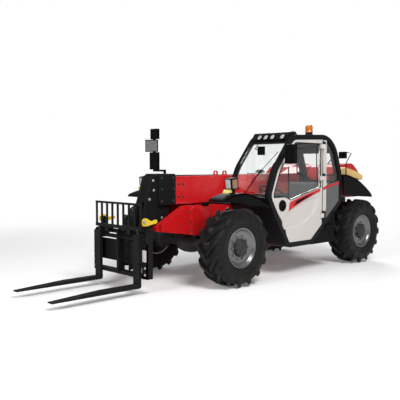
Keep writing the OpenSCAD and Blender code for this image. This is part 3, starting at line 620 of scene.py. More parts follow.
class TELEHANDLER_OT_cab_shell(bpy.types.Operator):
    """Make the cab's frames, panels and panes, with the lamps' brow on the roof"""
    bl_idname = "telehandler.cab_shell"
    bl_label = "Cab shell"

    frame_w = 0.064
    gap = 0.006
    post_w = 0.095
    wide = (0.2653, 0.8697)
    sill, dash, head, rear_low = 0.485, 1.085, 1.79, 1.02
    rear_window = (1.28, 1.68)
    brow = ((-0.938, 1.838), (-0.985, 1.915), (-1.02, 1.948), (-1.1, 1.962), (-1.16, 1.958), (-1.21, 1.905),
            (-1.01, 1.86))
    brow_radii = (0.006, 0.012, 0.03, 0.06, 0.02, 0.004, 0.004)
    seat_stand = ((-1.4, 0.42), (-1.33, 0.42), (-1.28, 0.64), (-1.7, 0.64))
    column = ((-1.018, 0.4503), (-1.002, 0.4503), (-0.96, 0.47), (-0.925, 0.96), (-0.96, 1.075),
              (-1.018, 1.06))
    wheel_lean = math.radians(32)
    wheel_radius = 0.18

    def execute(self, context):
        self.side_frame()
        self.panels()
        self.panes()
        self.door()
        self.steering()
        return {"FINISHED"}

    def quarter(self):
        """Opening behind the door's post."""
        return clipped(cab_line(self.frame_w), lambda p: HINGE_X - self.post_w - p.x)

    def rear_part(self, low, high, outer=0.0, inner=0.05):
        """Strip of the rear wall between two heights."""
        return wall_line(lambda p: min(p.y - low, high - p.y, -1.9 - p.x), outer, inner)

    def knuckles(self, bm, back, front, face, low, high):
        """Hinge parts that stand on a face, between two heights over each hinge's foot."""
        for z in HINGES_Z:
            box(bm, HINGE_X + back, HINGE_X + front, face, HINGE_Y, z + low, z + high)
            lathe(bm, [(0.014, z + low), (0.014, z + high)], spot(HINGE_X, HINGE_Y, 0), (0, 0, 1), 24)

    def side_frame(self):
        near, far = bmesh.new(), bmesh.new()
        opening = clipped(cab_line(self.frame_w), lambda p: p.x - HINGE_X + self.gap)
        plate(near, [cab_line(0), opening, self.quarter()], 0.87, 0.93)
        self.knuckles(near, -0.055, 0, 0.93, 0.061, 0.091)
        window = clipped(cab_line(self.frame_w), lambda p: p.y - self.dash)
        plate(far, [cab_line(0), window], 0.215, 0.265)
        rebuilt("cab_side_frame", near, "cab_left_frame")
        rebuilt("cab_far_wall", far, "cab_right_wall")

    def panels(self):
        floor, front, roof, back, quarter = (bmesh.new() for _ in range(5))
        lower = wall_line(lambda p: max(self.sill - p.y, min(-1.2 - p.x, self.rear_low - p.y)))
        prism(floor, lower, *self.wide)
        prism(floor, self.seat_stand, 0.375, 0.775)
        prism(front, wall_line(lambda p: min(p.y - self.sill, self.dash - p.y, p.x + 1.15)), *self.wide)
        prism(roof, wall_line(lambda p: p.y - self.head), *self.wide)
        prism(roof, rounded(self.brow, self.brow_radii), *self.wide)
        low, high = self.rear_window
        for part in ((self.rear_low, low), (high, self.head)):
            prism(back, self.rear_part(*part), *self.wide)
        for side in ((self.wide[0], 0.315), (0.82, self.wide[1])):
            prism(back, self.rear_part(low, high), *side)
        prism(quarter, clipped(self.quarter(), lambda p: belt_z(p.x) - p.y), 0.885, 0.925)
        rebuilt("cab_floor_pan", floor, "cab_floor")
        rebuilt("cab_nose_panel", front, "cab_front")
        rebuilt("cab_roof_shell", roof, "cab_roof", edge=0.008)
        rebuilt("cab_rear_wall", back, "cab_rear")
        rebuilt("quarter_plate", quarter, "quarter_panel")

    def panes(self):
        screen, side = bmesh.new(), bmesh.new()
        ahead = wall_line(lambda p: min(p.y - self.dash, self.head - p.y, p.x + 1.2), 0.012, 0.018)
        prism(screen, ahead, *self.wide)
        prism(side, clipped(cab_line(self.frame_w), lambda p: p.y - self.dash), 0.235, 0.241)
        prism(side, clipped(self.quarter(), lambda p: p.y - belt_z(p.x)), *PANE_Y)
        prism(side, self.rear_part(*self.rear_window, 0.02, 0.026), 0.315, 0.82)
        rebuilt("windscreen_pane", screen, "windscreen", edge=0)
        rebuilt("cab_panes", side, "cab_glass", edge=0)

    def door(self):
        panel, pane = bmesh.new(), bmesh.new()
        outer = clipped(cab_line(self.frame_w + self.gap), lambda p: p.x - HINGE_X)
        opening = window_line(self.frame_w + self.gap + 0.034, back=HINGE_X + 0.034)
        plate(panel, [outer, opening, TELEHANDLER_OT_door.leaf], 0.882, 0.928)
        self.knuckles(panel, 0, 0.06, 0.928, 0, 0.06)
        prism(pane, opening, *PANE_Y)
        rebuilt("door_skin", panel, "door_panel")
        rebuilt("door_pane", pane, "door_glass", edge=0)

    def steering(self):
        bm = bmesh.new()
        prism(bm, self.column, 0.505, 0.645)
        axis, side = Vector((-math.sin(self.wheel_lean), 0, math.cos(self.wheel_lean))), Vector((0, 1, 0))
        hub, across = spot(-1.0, 0.575, 1.078), axis.cross(side)
        lathe(bm, [(0.028, -0.01), (0.034, 0.05), (0.03, 0.062)], hub, axis, 24)
        middle = hub + 0.052 * axis
        rim = [middle + self.wheel_radius * (a * across + b * side) for a, b in circle(1, 48)]
        tube(bm, rim, 0.014, 12, loop=True)
        for k in (0, 16, 32):
            tube(bm, [middle, rim[k]], 0.011, 8)
        rebuilt("steering_wheel", bm, "steering_column", edge=0.002)


class TELEHANDLER_OT_frame_plates(bpy.types.Operator):
    """Make the chassis plates with their wedge-shaped nose, the side tank and the air inlet"""
    bl_idname = "telehandler.frame_plates"
    bl_label = "Frame plates"

    side = ((-3.08, 0.6), (-2.56, 0.6), (-2.33, 0.3), (-0.42, 0.3), (-0.19, 0.6), (0.136, 0.6),
            (0.722, 0.682), (0.722, 0.767), (0.31, 0.985), (-2.3, 0.985), (-2.48, 1.15), (-2.65, 1.33),
            (-2.95, 1.33), (-3.08, 1.1))
    nose = ((0.16, 0.612), (0.69, 0.678), (0.69, 0.74), (0.16, 0.74))
    cheek = ((0.136, 0.6), (0.697, 0.682), (0.697, 0.775), (0.305, 0.98), (0.136, 0.98))
    shoulder = ((-0.1, 0.6), (0.136, 0.6), (0.228, 0.612), (0.228, 0.945), (0.205, 0.965), (-0.1, 0.965))
    lug = ((-2.515, 0.5), (-2.4, 0.5), (-2.4, 0.6), (-2.515, 0.7))
    tank = ((-2.06, 0.388), (-1.5, 0.388), (-1.53, 0.425), (-2.06, 0.83))
    # Radius and height of the inlet's upright pipe and cap
    inlet = ((0.02, -0.04), (0.034, -0.03), (0.04, -0.01), (0.04, 0.185), (0.08, 0.186), (0.08, 0.199),
             (0.062, 0.225), (0.03, 0.239))

    def execute(self, context):
        bm, tank, inlet = (bmesh.new() for _ in range(3))
        pair(bm, [self.side, hole(*BOOM_PIVOT, 0.0403)], 0.165, 0.195)
        prism(bm, self.nose, -0.165, 0.165)
        pair(bm, [self.cheek], 0.195, 0.272)
        pair(bm, [self.shoulder], 0.195, 0.3)
        box(bm, -2.33, -0.42, -0.165, 0.165, 0.3, 0.32)
        for x in (-1.33, -1.08):
            box(bm, x, x + 0.08, -0.9, 0.195, 0.25, 0.3)
            box(bm, x, x + 0.08, 0.165, 0.475, 0.35, 0.3997)
        box(bm, -3.11, -3.08, -0.195, 0.195, 0.62, 1.0)
        box(bm, -2.545, -2.515, -0.165, 0.165, 0.56, 0.72)
        pair(bm, [self.lug], 0.07, 0.1)
        bar(bm, -2.45, 0.55, 0.03, -0.1, 0.1)
        prism(tank, self.tank, 0.48, 0.91)
        lathe(inlet, [(0.04, 0.0003), (0.04, 0.15)], spot(-2.3, -0.595, 1.2), (1, 0, 0), 24)
        lathe(inlet, self.inlet, spot(-2.15, -0.595, 1.2), (0, 0, 1), 32)
        rebuilt("frame_plates", bm, "chassis_frame")
        piece("side_tank", tank, "chassis", "black_moulding", edge=0.015)
        piece("air_inlet", inlet, "chassis", "black_moulding", edge=0.001)
        return {"FINISHED"}


class TELEHANDLER_OT_boom_head(bpy.types.Operator):
    """Make the inner boom with its collar and goose-neck head"""
    bl_idname = "telehandler.boom_head"
    bl_label = "Inner boom and head"

    top_plate = ((0.64, 1.35), (0.69, 1.372), (0.72, 1.335), (0.815, 1.04), (0.8, 1.04), (0.706, 1.328),
                 (0.64, 1.335))
    collar = ((0.378, 1.004), (0.64, 1.004), (0.64, 1.394), (0.378, 1.394))
    # Outline of the head's sides before and after the tilt pin's eye
    head_low = ((0.42, 1.01), (0.44, 0.93), (0.53, 0.805), (0.58, 0.768), (0.702, 0.768))
    head_top = ((0.965, 0.56), (0.905, 0.78), (0.815, 1.04), (0.72, 1.335), (0.69, 1.372), (0.64, 1.372),
                (0.5, 1.34))

    def execute(self, context):
        bm = bmesh.new()
        for y in (0.116, -0.128):
            box(bm, -2.33, 0.64, y, y + 0.012, 1.028, 1.339)
        for z in (1.028, 1.327):
            box(bm, -2.33, 0.64, -0.116, 0.116, z, z + 0.012)
        boxes(bm, -2.31, -2.19, 0.128, 0.1377, 1.068, 1.299)
        for z in (1.0183, 1.339):
            box(bm, -2.31, -2.19, -0.098, 0.098, z, z + 0.0097)
        pair(bm, [[*self.head_low, *arc(*TILT_PIN, 0.07, 215, 365, 12), *self.head_top]], 0.07, 0.1)
        prism(bm, self.top_plate, -0.07, 0.07)
        prism(bm, rounded(self.collar, (0.004, 0.03, 0.04, 0.012)), -0.15, 0.15)
        bar(bm, *TILT_PIN, 0.032, -0.16, 0.16)
        for s in SIDES:
            bar(bm, 0.62, 0.96, 0.03, *sorted((s * 0.048, s * 0.07)))
        rebuilt("boom_head", bm, "boom_inner")
        return {"FINISHED"}


class TELEHANDLER_OT_fork_frame(bpy.types.Operator):
    """Make the fork carriage with its hitch cheeks, the load guard and the fish-shaped levers"""
    bl_idname = "telehandler.fork_frame"
    bl_label = "Fork carriage"

    end = ((1.066, 0.19), (1.15, 0.19), (1.15, 0.68), (1.11, 0.72), (1.066, 0.72))
    divider = ((1.076, 0.2), (1.182, 0.2), (1.182, 0.7), (1.155, 0.74), (1.14, 0.74), (1.076, 0.68))
    lever_lug = ((1.066, 0.67), (1.091, 0.67), (1.091, 0.72), (1.126, 0.83), (1.096, 0.868), (1.041, 0.84))
    lever = ((0.908, 0.838), (0.916, 0.818), (0.996, 0.806), (1.056, 0.793), (1.111, 0.793), (1.138, 0.808),
             (1.146, 0.835), (1.134, 0.866), (1.101, 0.886), (1.061, 0.884), (1.021, 0.856), (0.986, 0.848),
             (0.936, 0.862), (0.914, 0.856))
    bars, bar_pitch = 9, 0.11125

    def execute(self, context):
        bm, guard, levers = (bmesh.new() for _ in range(3))
        pair(bm, [self.end], 0.515, 0.54)
        ear = arc(*TILT_PIN, 0.066, 90, 270, 12) + [(1.091, 0.24), (1.091, 0.7), (1.006, 0.6)]
        pair(bm, [ear, hole(*TILT_PIN, 0.0325)], 0.105, 0.13)
        back = [(1.056 + 0.1 * a, 0.685 + 0.075 * b) for a, b in arc(0, 0, 1, 90, 270, 10)]
        cheek = [(1.091, 0.6), (1.106, 0.69), (1.091, 0.76)] + back
        pair(bm, [cheek, hole(1.011, 0.68, 0.018)], 0.445, 0.467)
        lug = arc(0.975, 0.53, 0.042, 90, 240, 10) + [(1.076, 0.43), (1.076, 0.56)]
        pair(bm, [lug], 0.042, 0.062)
        pair(bm, [self.lever_lug], 0.384, 0.4137)
        prism(bm, self.divider, -0.012, 0.012)
        boxes(bm, 1.132, 1.15, 0.445, 0.54, 0.19, 0.6)
        for x1, z0, z1 in ((1.15, 0.19, 0.235), (1.091, 0.33, 0.59), (1.091, 0.67, 0.72)):
            box(bm, 1.066, x1, -0.515, 0.515, z0, z1)
        bar(bm, 1.125, 0.64, 0.025, -0.515, 0.515)
        for k in range(self.bars):
            y = self.bar_pitch * (k - self.bars // 2)
            box(guard, 1.158, 1.176, y - 0.014, y + 0.014, 0.75, 1.04)
        for z0, z1 in ((1.035, 1.06), (0.745, 0.785)):
            box(guard, 1.15, 1.18, -0.459, 0.459, z0, z1)
        boxes(guard, 1.0913, 1.18, 0.19, 0.25, 0.69, 0.76)
        pair(levers, [self.lever, hole(1.106, 0.84, 0.012)], 0.414, 0.434)
        rebuilt("fork_frame", bm, "carriage", edge=0.003)
        rebuilt("guard_bars", guard, "load_guard", edge=0.003)
        rebuilt("hitch_levers", levers, "latch_levers", edge=0.003)
        return {"FINISHED"}


class TELEHANDLER_OT_mudguards(bpy.types.Operator):
    """Make the curved mudguards with their skirts, and the stowed safety prop"""
    bl_idname = "telehandler.mudguards"
    bl_label = "Mudguards"

    front = ((0.312, 1.084), (0.262, 1.108), (0.12, 1.146), (0.0, 1.158), (-0.12, 1.15), (-0.3, 1.1),
             (-0.46, 1.03), (-0.55, 0.985))
    front_skirt = ((-0.548, 0.95), (-0.42, 0.99), (-0.2, 0.992), (0.05, 1.045), (0.3, 1.062))
    rear = ((-2.225, 1.372), (-2.381, 1.351), (-2.606, 1.284), (-2.781, 1.2), (-2.94, 1.105), (-3.012, 1.05),
            (-3.03, 1.01))
    rear_under = ((-3.002, 1.01), (-2.99, 1.036), (-2.925, 1.082), (-2.77, 1.176), (-2.6, 1.258),
                  (-2.381, 1.324), (-2.225, 1.345))
    thick = 0.026
    rear_skirt = ((-2.985, 1.01), (-2.75, 1.036), (-2.225, 1.064))
    prop = ((-2.381, 1.3513), (-2.9, 1.275), (-2.915, 1.345), (-2.73, 1.412), (-2.42, 1.475), (-2.385, 1.455))

    def smooth(self, points):
        """A smooth outline through some points."""
        return [(p.x, p.y) for p in curve([Vector(q) for q in points], 4)]

    def execute(self, context):
        front, rear, prop = (bmesh.new() for _ in range(3))
        top, crown = self.smooth(self.front), self.smooth(self.rear)
        pair(front, [top + [(x, z - self.thick) for x, z in reversed(top)]], 0.68, 0.95)
        pair(front, [top + list(self.front_skirt)], 0.924, 0.95)
        boxes(front, -0.15, -0.09, 0.21, 0.705, 1.0, 1.02)
        boxes(front, -0.15, -0.09, 0.68, 0.705, 1.0, 1.13)
        boxes(front, -0.095, -0.035, 0.21, 0.28, 0.9653, 1.02)
        pair(rear, [crown + self.smooth(self.rear_under)], 0.6403, 0.96)
        pair(rear, [crown + list(self.rear_skirt)], 0.93, 0.96)
        prism(prop, self.prop, 0.72, 0.86)
        rebuilt("front_wings", front, "front_mudguards", edge=0.006)
        rebuilt("rear_wings", rear, "rear_mudguards", edge=0.006)
        rebuilt("stowed_prop", prop, "safety_prop", edge=0.012)
        return {"FINISHED"}


class TELEHANDLER_OT_tyres(bpy.types.Operator):
    """Make the four lugged tyres with their ribbed walls"""
    bl_idname = "telehandler.tyres"
    bl_label = "Tyres"

    lugs = 15
    sweep = 24.0
    # Share of a lug's pitch and share of its height
    steps = ((0.0, 0.0), (0.03, 0.6), (0.06, 1.0), (0.19, 1.0), (0.32, 1.0), (0.35, 0.6), (0.38, 0.0),
             (0.53, 0.0), (0.69, 0.0), (0.84, 0.0))
    # Middle of a lug as a share of its pitch
    lug_middle = 0.19
    # Radius and offset of the side wall, with its ribs
    wall = ((0.2515, 0.133), (0.258, 0.149), (0.272, 0.1565), (0.284, 0.1602), (0.286, 0.1635),
            (0.296, 0.166), (0.298, 0.1645), (0.33, 0.174), (0.345, 0.1775), (0.347, 0.181), (0.356, 0.182),
            (0.358, 0.18))
    # Radius and offset between the lugs, the same on them, share of the sweep
    tread = ((0.39, 0.178, 0.396, 0.181, 1), (0.418, 0.171, 0.432, 0.183, 1),
             (0.434, 0.158, 0.468, 0.168, 0.92), (0.444, 0.141, 0.484, 0.141, 0.75),
             (0.448, 0.1, 0.487, 0.1, 0.52), (0.45, 0.055, 0.489, 0.055, 0.25), (0.45, 0.014, 0.49, 0.014, 0))

    def ring(self, row, side):
        half = len(self.steps) // 2
        pitch = 360 / self.lugs
        points = []
        for k in range(self.lugs):
            for j in range(len(self.steps)):
                i = j if side < 0 else (j + half) % len(self.steps)
                share, up = self.steps[i]
                turn = k + share + (0 if side < 0 else -0.5 if j < half else 0.5)
                a = math.radians(270 + (turn - self.lug_middle) * pitch + row[4] * self.sweep)
                radius, offset = (row[0] + up * (row[2] - row[0])), (row[1] + up * (row[3] - row[1]))
                points.append((radius * math.cos(a), side * offset, radius * math.sin(a)))
        return points

    def execute(self, context):
        rows = [(*point, *point, 1) for point in self.wall] + list(self.tread)
        rings = [self.ring(row, -1) for row in rows] + [self.ring(row, 1) for row in reversed(rows)]
        for corner in CORNERS:
            hub = Vector(JOINTS["spin_" + corner]["pos_m"])
            side = -1 if hub.y < 0 else 1
            bm = bmesh.new()
            skin(bm, [[hub + Vector((x, side * y, z)) for x, y, z in ring] for ring in rings], loop=True)
            piece("lugged_tyre_" + corner, bm, "wheel_" + corner, "tyre_rubber", edge=0.003,
                  stands_for=("tyre_" + corner,))
        return {"FINISHED"}


class TELEHANDLER_OT_rims(bpy.types.Operator):
    """Make the four wheel discs with their nuts and lobed hubs"""
    bl_idname = "telehandler.rims"
    bl_label = "Rims"

    disc = ((0.1, 0.084), (0.1, 0.104), (0.185, 0.104), (0.2, 0.107), (0.214, 0.118), (0.222, 0.131),
            (0.229, 0.142), (0.236, 0.1465), (0.247, 0.1465), (0.25, 0.144), (0.25, 0.134), (0.24, 0.126),
            (0.24, -0.126), (0.25, -0.134), (0.25, -0.146), (0.23, -0.146), (0.222, -0.13), (0.222, 0.084))
    hub = ((0.108, 0.1), (0.108, 0.128), (0.102, 0.14), (0.088, 0.148), (0.07, 0.15), (0.062, 0.158),
           (0.03, 0.16), (0.026, 0.156), (0.004, 0.156))

    def execute(self, context):
        for corner in CORNERS:
            centre = Vector(JOINTS["spin_" + corner]["pos_m"])
            axis = Vector((0, -1 if centre.y < 0 else 1, 0))
            body = "wheel_" + corner
            bm = bmesh.new()
            lathe(bm, self.disc, centre, axis, 64, loop=True)
            piece("wheel_disc_" + corner, bm, body, "rim_paint", edge=0.0015, stands_for=("rim_" + corner,))
            bm = bmesh.new()
            lathe(bm, self.hub, centre, axis, 80, lobes=10, swell=0.045)
            piece("lobed_hub_" + corner, bm, body, "axle_paint", edge=0.0015)
            bm = bmesh.new()
            nuts = [centre + axis * 0.104 + Vector((0.14 * a, 0, 0.14 * b)) for a, b in circle(1, 10)]
            bolts(bm, nuts, axis, 0.015)
            for nut in nuts:
                lathe(bm, [(0.009, 0.01), (0.009, 0.024), (0.006, 0.027)], nut, axis, 12)
            piece("wheel_nuts_" + corner, bm, body, "rim_paint", edge=0.001)
        return {"FINISHED"}


class TELEHANDLER_OT_lamps(bpy.types.Operator):
    """Make the head lamps, work lamps, tail lamps and the beacon"""
    bl_idname = "telehandler.lamps"
    bl_label = "Lamps"

    def execute(self, context):
        self.head_lamps()
        self.work_lamps()
        self.tail_lamps()
        self.beacon()
        return {"FINISHED"}

    def head_lamps(self):
        shell, face, side, blink = (bmesh.new() for _ in range(4))

        def lean(z):
            """How far the lamp's face leans ahead at a height."""
            return 0.103 * (z - 1.212)

        def row(s, x, k):
            """The face's rim at a station, drawn in by a share."""
            rim = ((0.8, 1.214), (0.894, 1.214), (0.894, 1.332), (0.8, 1.332))
            mid_y, mid_z = 0.847, 1.273
            return [spot(x + lean(z), s * (mid_y + k * (y - mid_y)), mid_z + k * (z - mid_z)) for y, z in rim]

        for s in SIDES:
            prism(shell, [(0.012, 1.216), (0.022, 1.21), (0.128, 1.206), (0.134 + lean(1.33), 1.33),
                          (0.126 + lean(1.34), 1.342), (0.03, 1.351), (0.016, 1.34)], s * 0.792, s * 0.902)
            box(shell, 0.04, 0.09, *sorted((s * 0.82, s * 0.87)), 1.1545, 1.214)
            border = ((0.128, 1.05), (0.141, 1.05), (0.141, 0.93), (0.128, 0.93))
            skin(shell, [row(s, x, k) for x, k in border], loop=True)
            skin(face, [row(s, x, k) for x, k in ((0.13, 0.92), (0.137, 0.92), (0.141, 0.75), (0.142, 0.4))])
            prism(side, [(0.034, 1.222), (0.118, 1.219), (0.128, 1.322), (0.042, 1.334)], s * 0.9, s * 0.9085)
            prism(blink, [(0.1, 1.166), (0.19, 1.16), (0.182, 1.196), (0.106, 1.214)], s * 0.8, s * 0.88)
        piece("lamp_shells", shell, "chassis", "black_moulding", edge=0.003, stands_for=("headlamps",))
        piece("lamp_faces", face, "chassis", "lamp_lens")
        piece("lamp_sides", side, "chassis", "amber_lens", look="brown_lens")
        piece("indicators", blink, "chassis", "amber_lens", look="yellow_lens", edge=0.006)

    def work_lamps(self):
        axis = Vector((0.8536, 0, 0.521))
        cup, face = bmesh.new(), bmesh.new()
        for y in (0.415, 0.525, 0.642, 0.81):
            centre = spot(-0.9615, y, 1.8765)
            lathe(cup, [(0.044, 0.0005), (0.044, 0.019), (0.0415, 0.024), (0.038, 0.024), (0.036, 0.015),
                        (0.02, 0.0005)], centre, axis, loop=True)
            lathe(face, [(0.036, 0.011), (0.036, 0.017), (0.026, 0.021), (0.01, 0.023)], centre, axis)
        piece("work_lamp_cups", cup, "chassis", "black_moulding", edge=0.001, stands_for=("roof_lamps",))
        piece("work_lamp_faces", face, "chassis", "lamp_lens", edge=0)

    def tail_lamps(self):
        frame_bm, glass = bmesh.new(), bmesh.new()
        for s in SIDES:
            box(frame_bm, -3.168, -3.1505, *sorted((s * 0.44, s * 0.62)), 1.06, 1.18)
            for k in range(3):
                near, far = sorted((s * (0.446 + 0.0573 * k), s * (0.5 + 0.0573 * k)))
                box(glass, -3.188, -3.166, near, far, 1.066, 1.174)
        piece("tail_lamp_frames", frame_bm, "chassis", "black_moulding", edge=0.004,
              stands_for=("tail_lamps",))
        piece("tail_lamp_faces", glass, "chassis", "red_lens", edge=0.006)

    def beacon(self):
        foot, dome = bmesh.new(), bmesh.new()
        centre = spot(-1.7, 0.7, 1.9345)
        lathe(foot, [(0.055, 0), (0.055, 0.014), (0.051, 0.02), (0.051, 0.036), (0.046, 0.038)], centre,
              (0, 0, 1), 40)
        lathe(dome, [(0.05, 0.036), (0.0545, 0.04), (0.0545, 0.052), (0.053, 0.055), (0.0515, 0.12),
                     (0.046, 0.14), (0.033, 0.15), (0.012, 0.154)], centre, (0, 0, 1), 40)
        piece("beacon_foot", foot, "chassis", "black_moulding", stands_for=("beacon",))
        piece("beacon_dome", dome, "chassis", "amber_lens", edge=0.001)


class TELEHANDLER_OT_seat(bpy.types.Operator):
    """Make the seat's stuffed cushion and backrest, swollen by a short cloth simulation"""
    bl_idname = "telehandler.seat"
    bl_label = "Seat"

    cushion = ((-1.62, 0.654), (-1.25, 0.654), (-1.245, 0.728), (-1.62, 0.722))
    back = ((-1.685, 0.7), (-1.622, 0.745), (-1.7, 1.262), (-1.782, 1.262))
    limit = 0.022

    def execute(self, context):
        for name, outline in (("seat_cushion", self.cushion), ("seat_back", self.back)):
            bm = bmesh.new()
            prism(bm, outline, 0.352, 0.798)
            obj = piece(name, bm, "chassis", "seat_cloth", edge=0)
            self.swell(context, obj)
        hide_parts("seat")
        bm = bmesh.new()
        prism(bm, [(-1.63, 0.641), (-1.26, 0.641), (-1.255, 0.652), (-1.635, 0.652)], 0.34, 0.81)
        prism(bm, [(-1.7, 0.66), (-1.688, 0.695), (-1.786, 1.25), (-1.797, 1.24), (-1.715, 0.7)], 0.37, 0.78)
        piece("seat_shell", bm, "chassis", "black_moulding", edge=0.003)
        return {"FINISHED"}

    def swell(self, context, obj):
        """Fine mesh, pressure from inside, and no point moved further than the limit."""
        context.view_layer.objects.active = obj
        grid = obj.modifiers.new("grid", "REMESH")
        grid.mode = "VOXEL"
        grid.voxel_size = 0.006
        bpy.ops.object.modifier_apply(modifier=grid.name)
        cloth = obj.modifiers.new("cloth", "CLOTH")
        cloth.settings.use_pressure = True
        cloth.settings.uniform_pressure_force = 4.0
        cloth.settings.effector_weights.gravity = 0.0
        for step in range(1, 21):
            context.scene.frame_set(step)
        soft = obj.evaluated_get(context.evaluated_depsgraph_get()).to_mesh()
        moves = [a.co - b.co for a, b in zip(soft.vertices, obj.data.vertices)]
        obj.modifiers.remove(cloth)
        context.scene.frame_set(1)
        for vert, move in zip(obj.data.vertices, moves):
            vert.co += move * min(1.0, self.limit / max(move.length, 1e-6))
        obj.data.polygons.foreach_set("use_smooth", [True] * len(obj.data.polygons))
        obj.modifiers.new("smooth", "SUBSURF").levels = 1


class TELEHANDLER_OT_door(bpy.types.Operator):
    """Dress the door: hollowed leaf, window seal, red band, blank wedge, handle and sliding pane"""
    bl_idname = "telehandler.door_trim"
    bl_label = "Door trim"

    band = ((-0.972, 1.008), (-1.08, 1.04), (-1.304, 1.097), (-1.5, 1.139), (-1.664, 1.174), (-1.664, 1.136),
            (-1.5, 1.088), (-1.305, 1.028), (-1.15, 0.974), (-1.02, 0.926), (-0.945, 0.889))
    leaf = ((-0.812, 0.8), (-0.85, 0.842), (-1.016, 0.923), (-1.306, 1.019), (-1.515, 1.06), (-1.632, 1.056),
            (-1.645, 1.04), (-1.63, 0.95), (-1.531, 0.834), (-1.334, 0.728), (-1.109, 0.668), (-0.905, 0.65),
            (-0.85, 0.655), (-0.818, 0.7))
    # Share of the leaf's outline and distance from the machine's middle
    dish = ((0.999, 0.884), (0.999, 0.9275), (0.975, 0.925), (0.93, 0.918), (0.86, 0.913), (0.75, 0.91),
            (0.55, 0.9085))
    wedge = ((-1.055, 0.958), (-1.431, 1.083), (-1.5, 1.116), (-1.3, 1.072), (-1.115, 1.024))
    pane_line = ((-1.146, 1.721), (-1.6, 1.77), (-1.63, 1.26), (-1.163, 1.4))

    def execute(self, context):
        seal, pane, band, wedge, leaf = (bmesh.new() for _ in range(5))
        line = window_line(0.107, back=HINGE_X + 0.037)
        tube(seal, [spot(p.x, 0.926, p.y) for p in line], 0.008, 8, loop=True)
        tube(pane, [spot(x, 0.896, z) for x, z in self.pane_line], 0.009, 8, loop=True)
        tube(pane, [spot(-0.973, 0.9, 1.06), spot(-0.973, 0.9, 1.49)], 0.009, 8)
        prism(band, self.band, 0.9282, 0.932)
        prism(wedge, self.wedge, 0.932, 0.9336)
        outline = [Vector(p) for p in self.leaf]
        middle = sum(outline, Vector((0, 0))) / len(outline)
        rings = [([middle + k * (p - middle) for p in outline], y) for k, y in self.dish]
        skin(leaf, [[spot(p.x, y, p.y) for p in ring] for ring, y in rings])
        piece("door_leaf", leaf, "door", "pale_panel", edge=0)
        piece("door_seal", seal, "door", "black_moulding", edge=0)
        piece("sliding_pane_frame", pane, "door", "black_moulding", edge=0)
        piece("door_band", band, "door", "red_cover", edge=0.001)
        piece("door_wedge", wedge, "door", "black_moulding", edge=0.0005)
        self.handle()
        return {"FINISHED"}

    def handle(self):
        bm = bmesh.new()
        centre = spot(-0.812, 0.9282, 0.97)
        lathe(bm, [(0.076, 0), (0.076, 0.006), (0.07, 0.01), (0.056, 0.011), (0.05, 0.005), (0.01, 0.004)],
              centre, (0, 1, 0), 48)
        prism(bm, [(-0.868, 0.958), (-0.762, 0.975), (-0.758, 1.0), (-0.872, 0.99)], 0.933, 0.948)
        lathe(bm, [(0.013, 0.004), (0.013, 0.02), (0.01, 0.022)], spot(-0.82, 0.9282, 0.925), (0, 1, 0), 20)
        piece("door_handle", bm, "door", "black_moulding", edge=0.003)


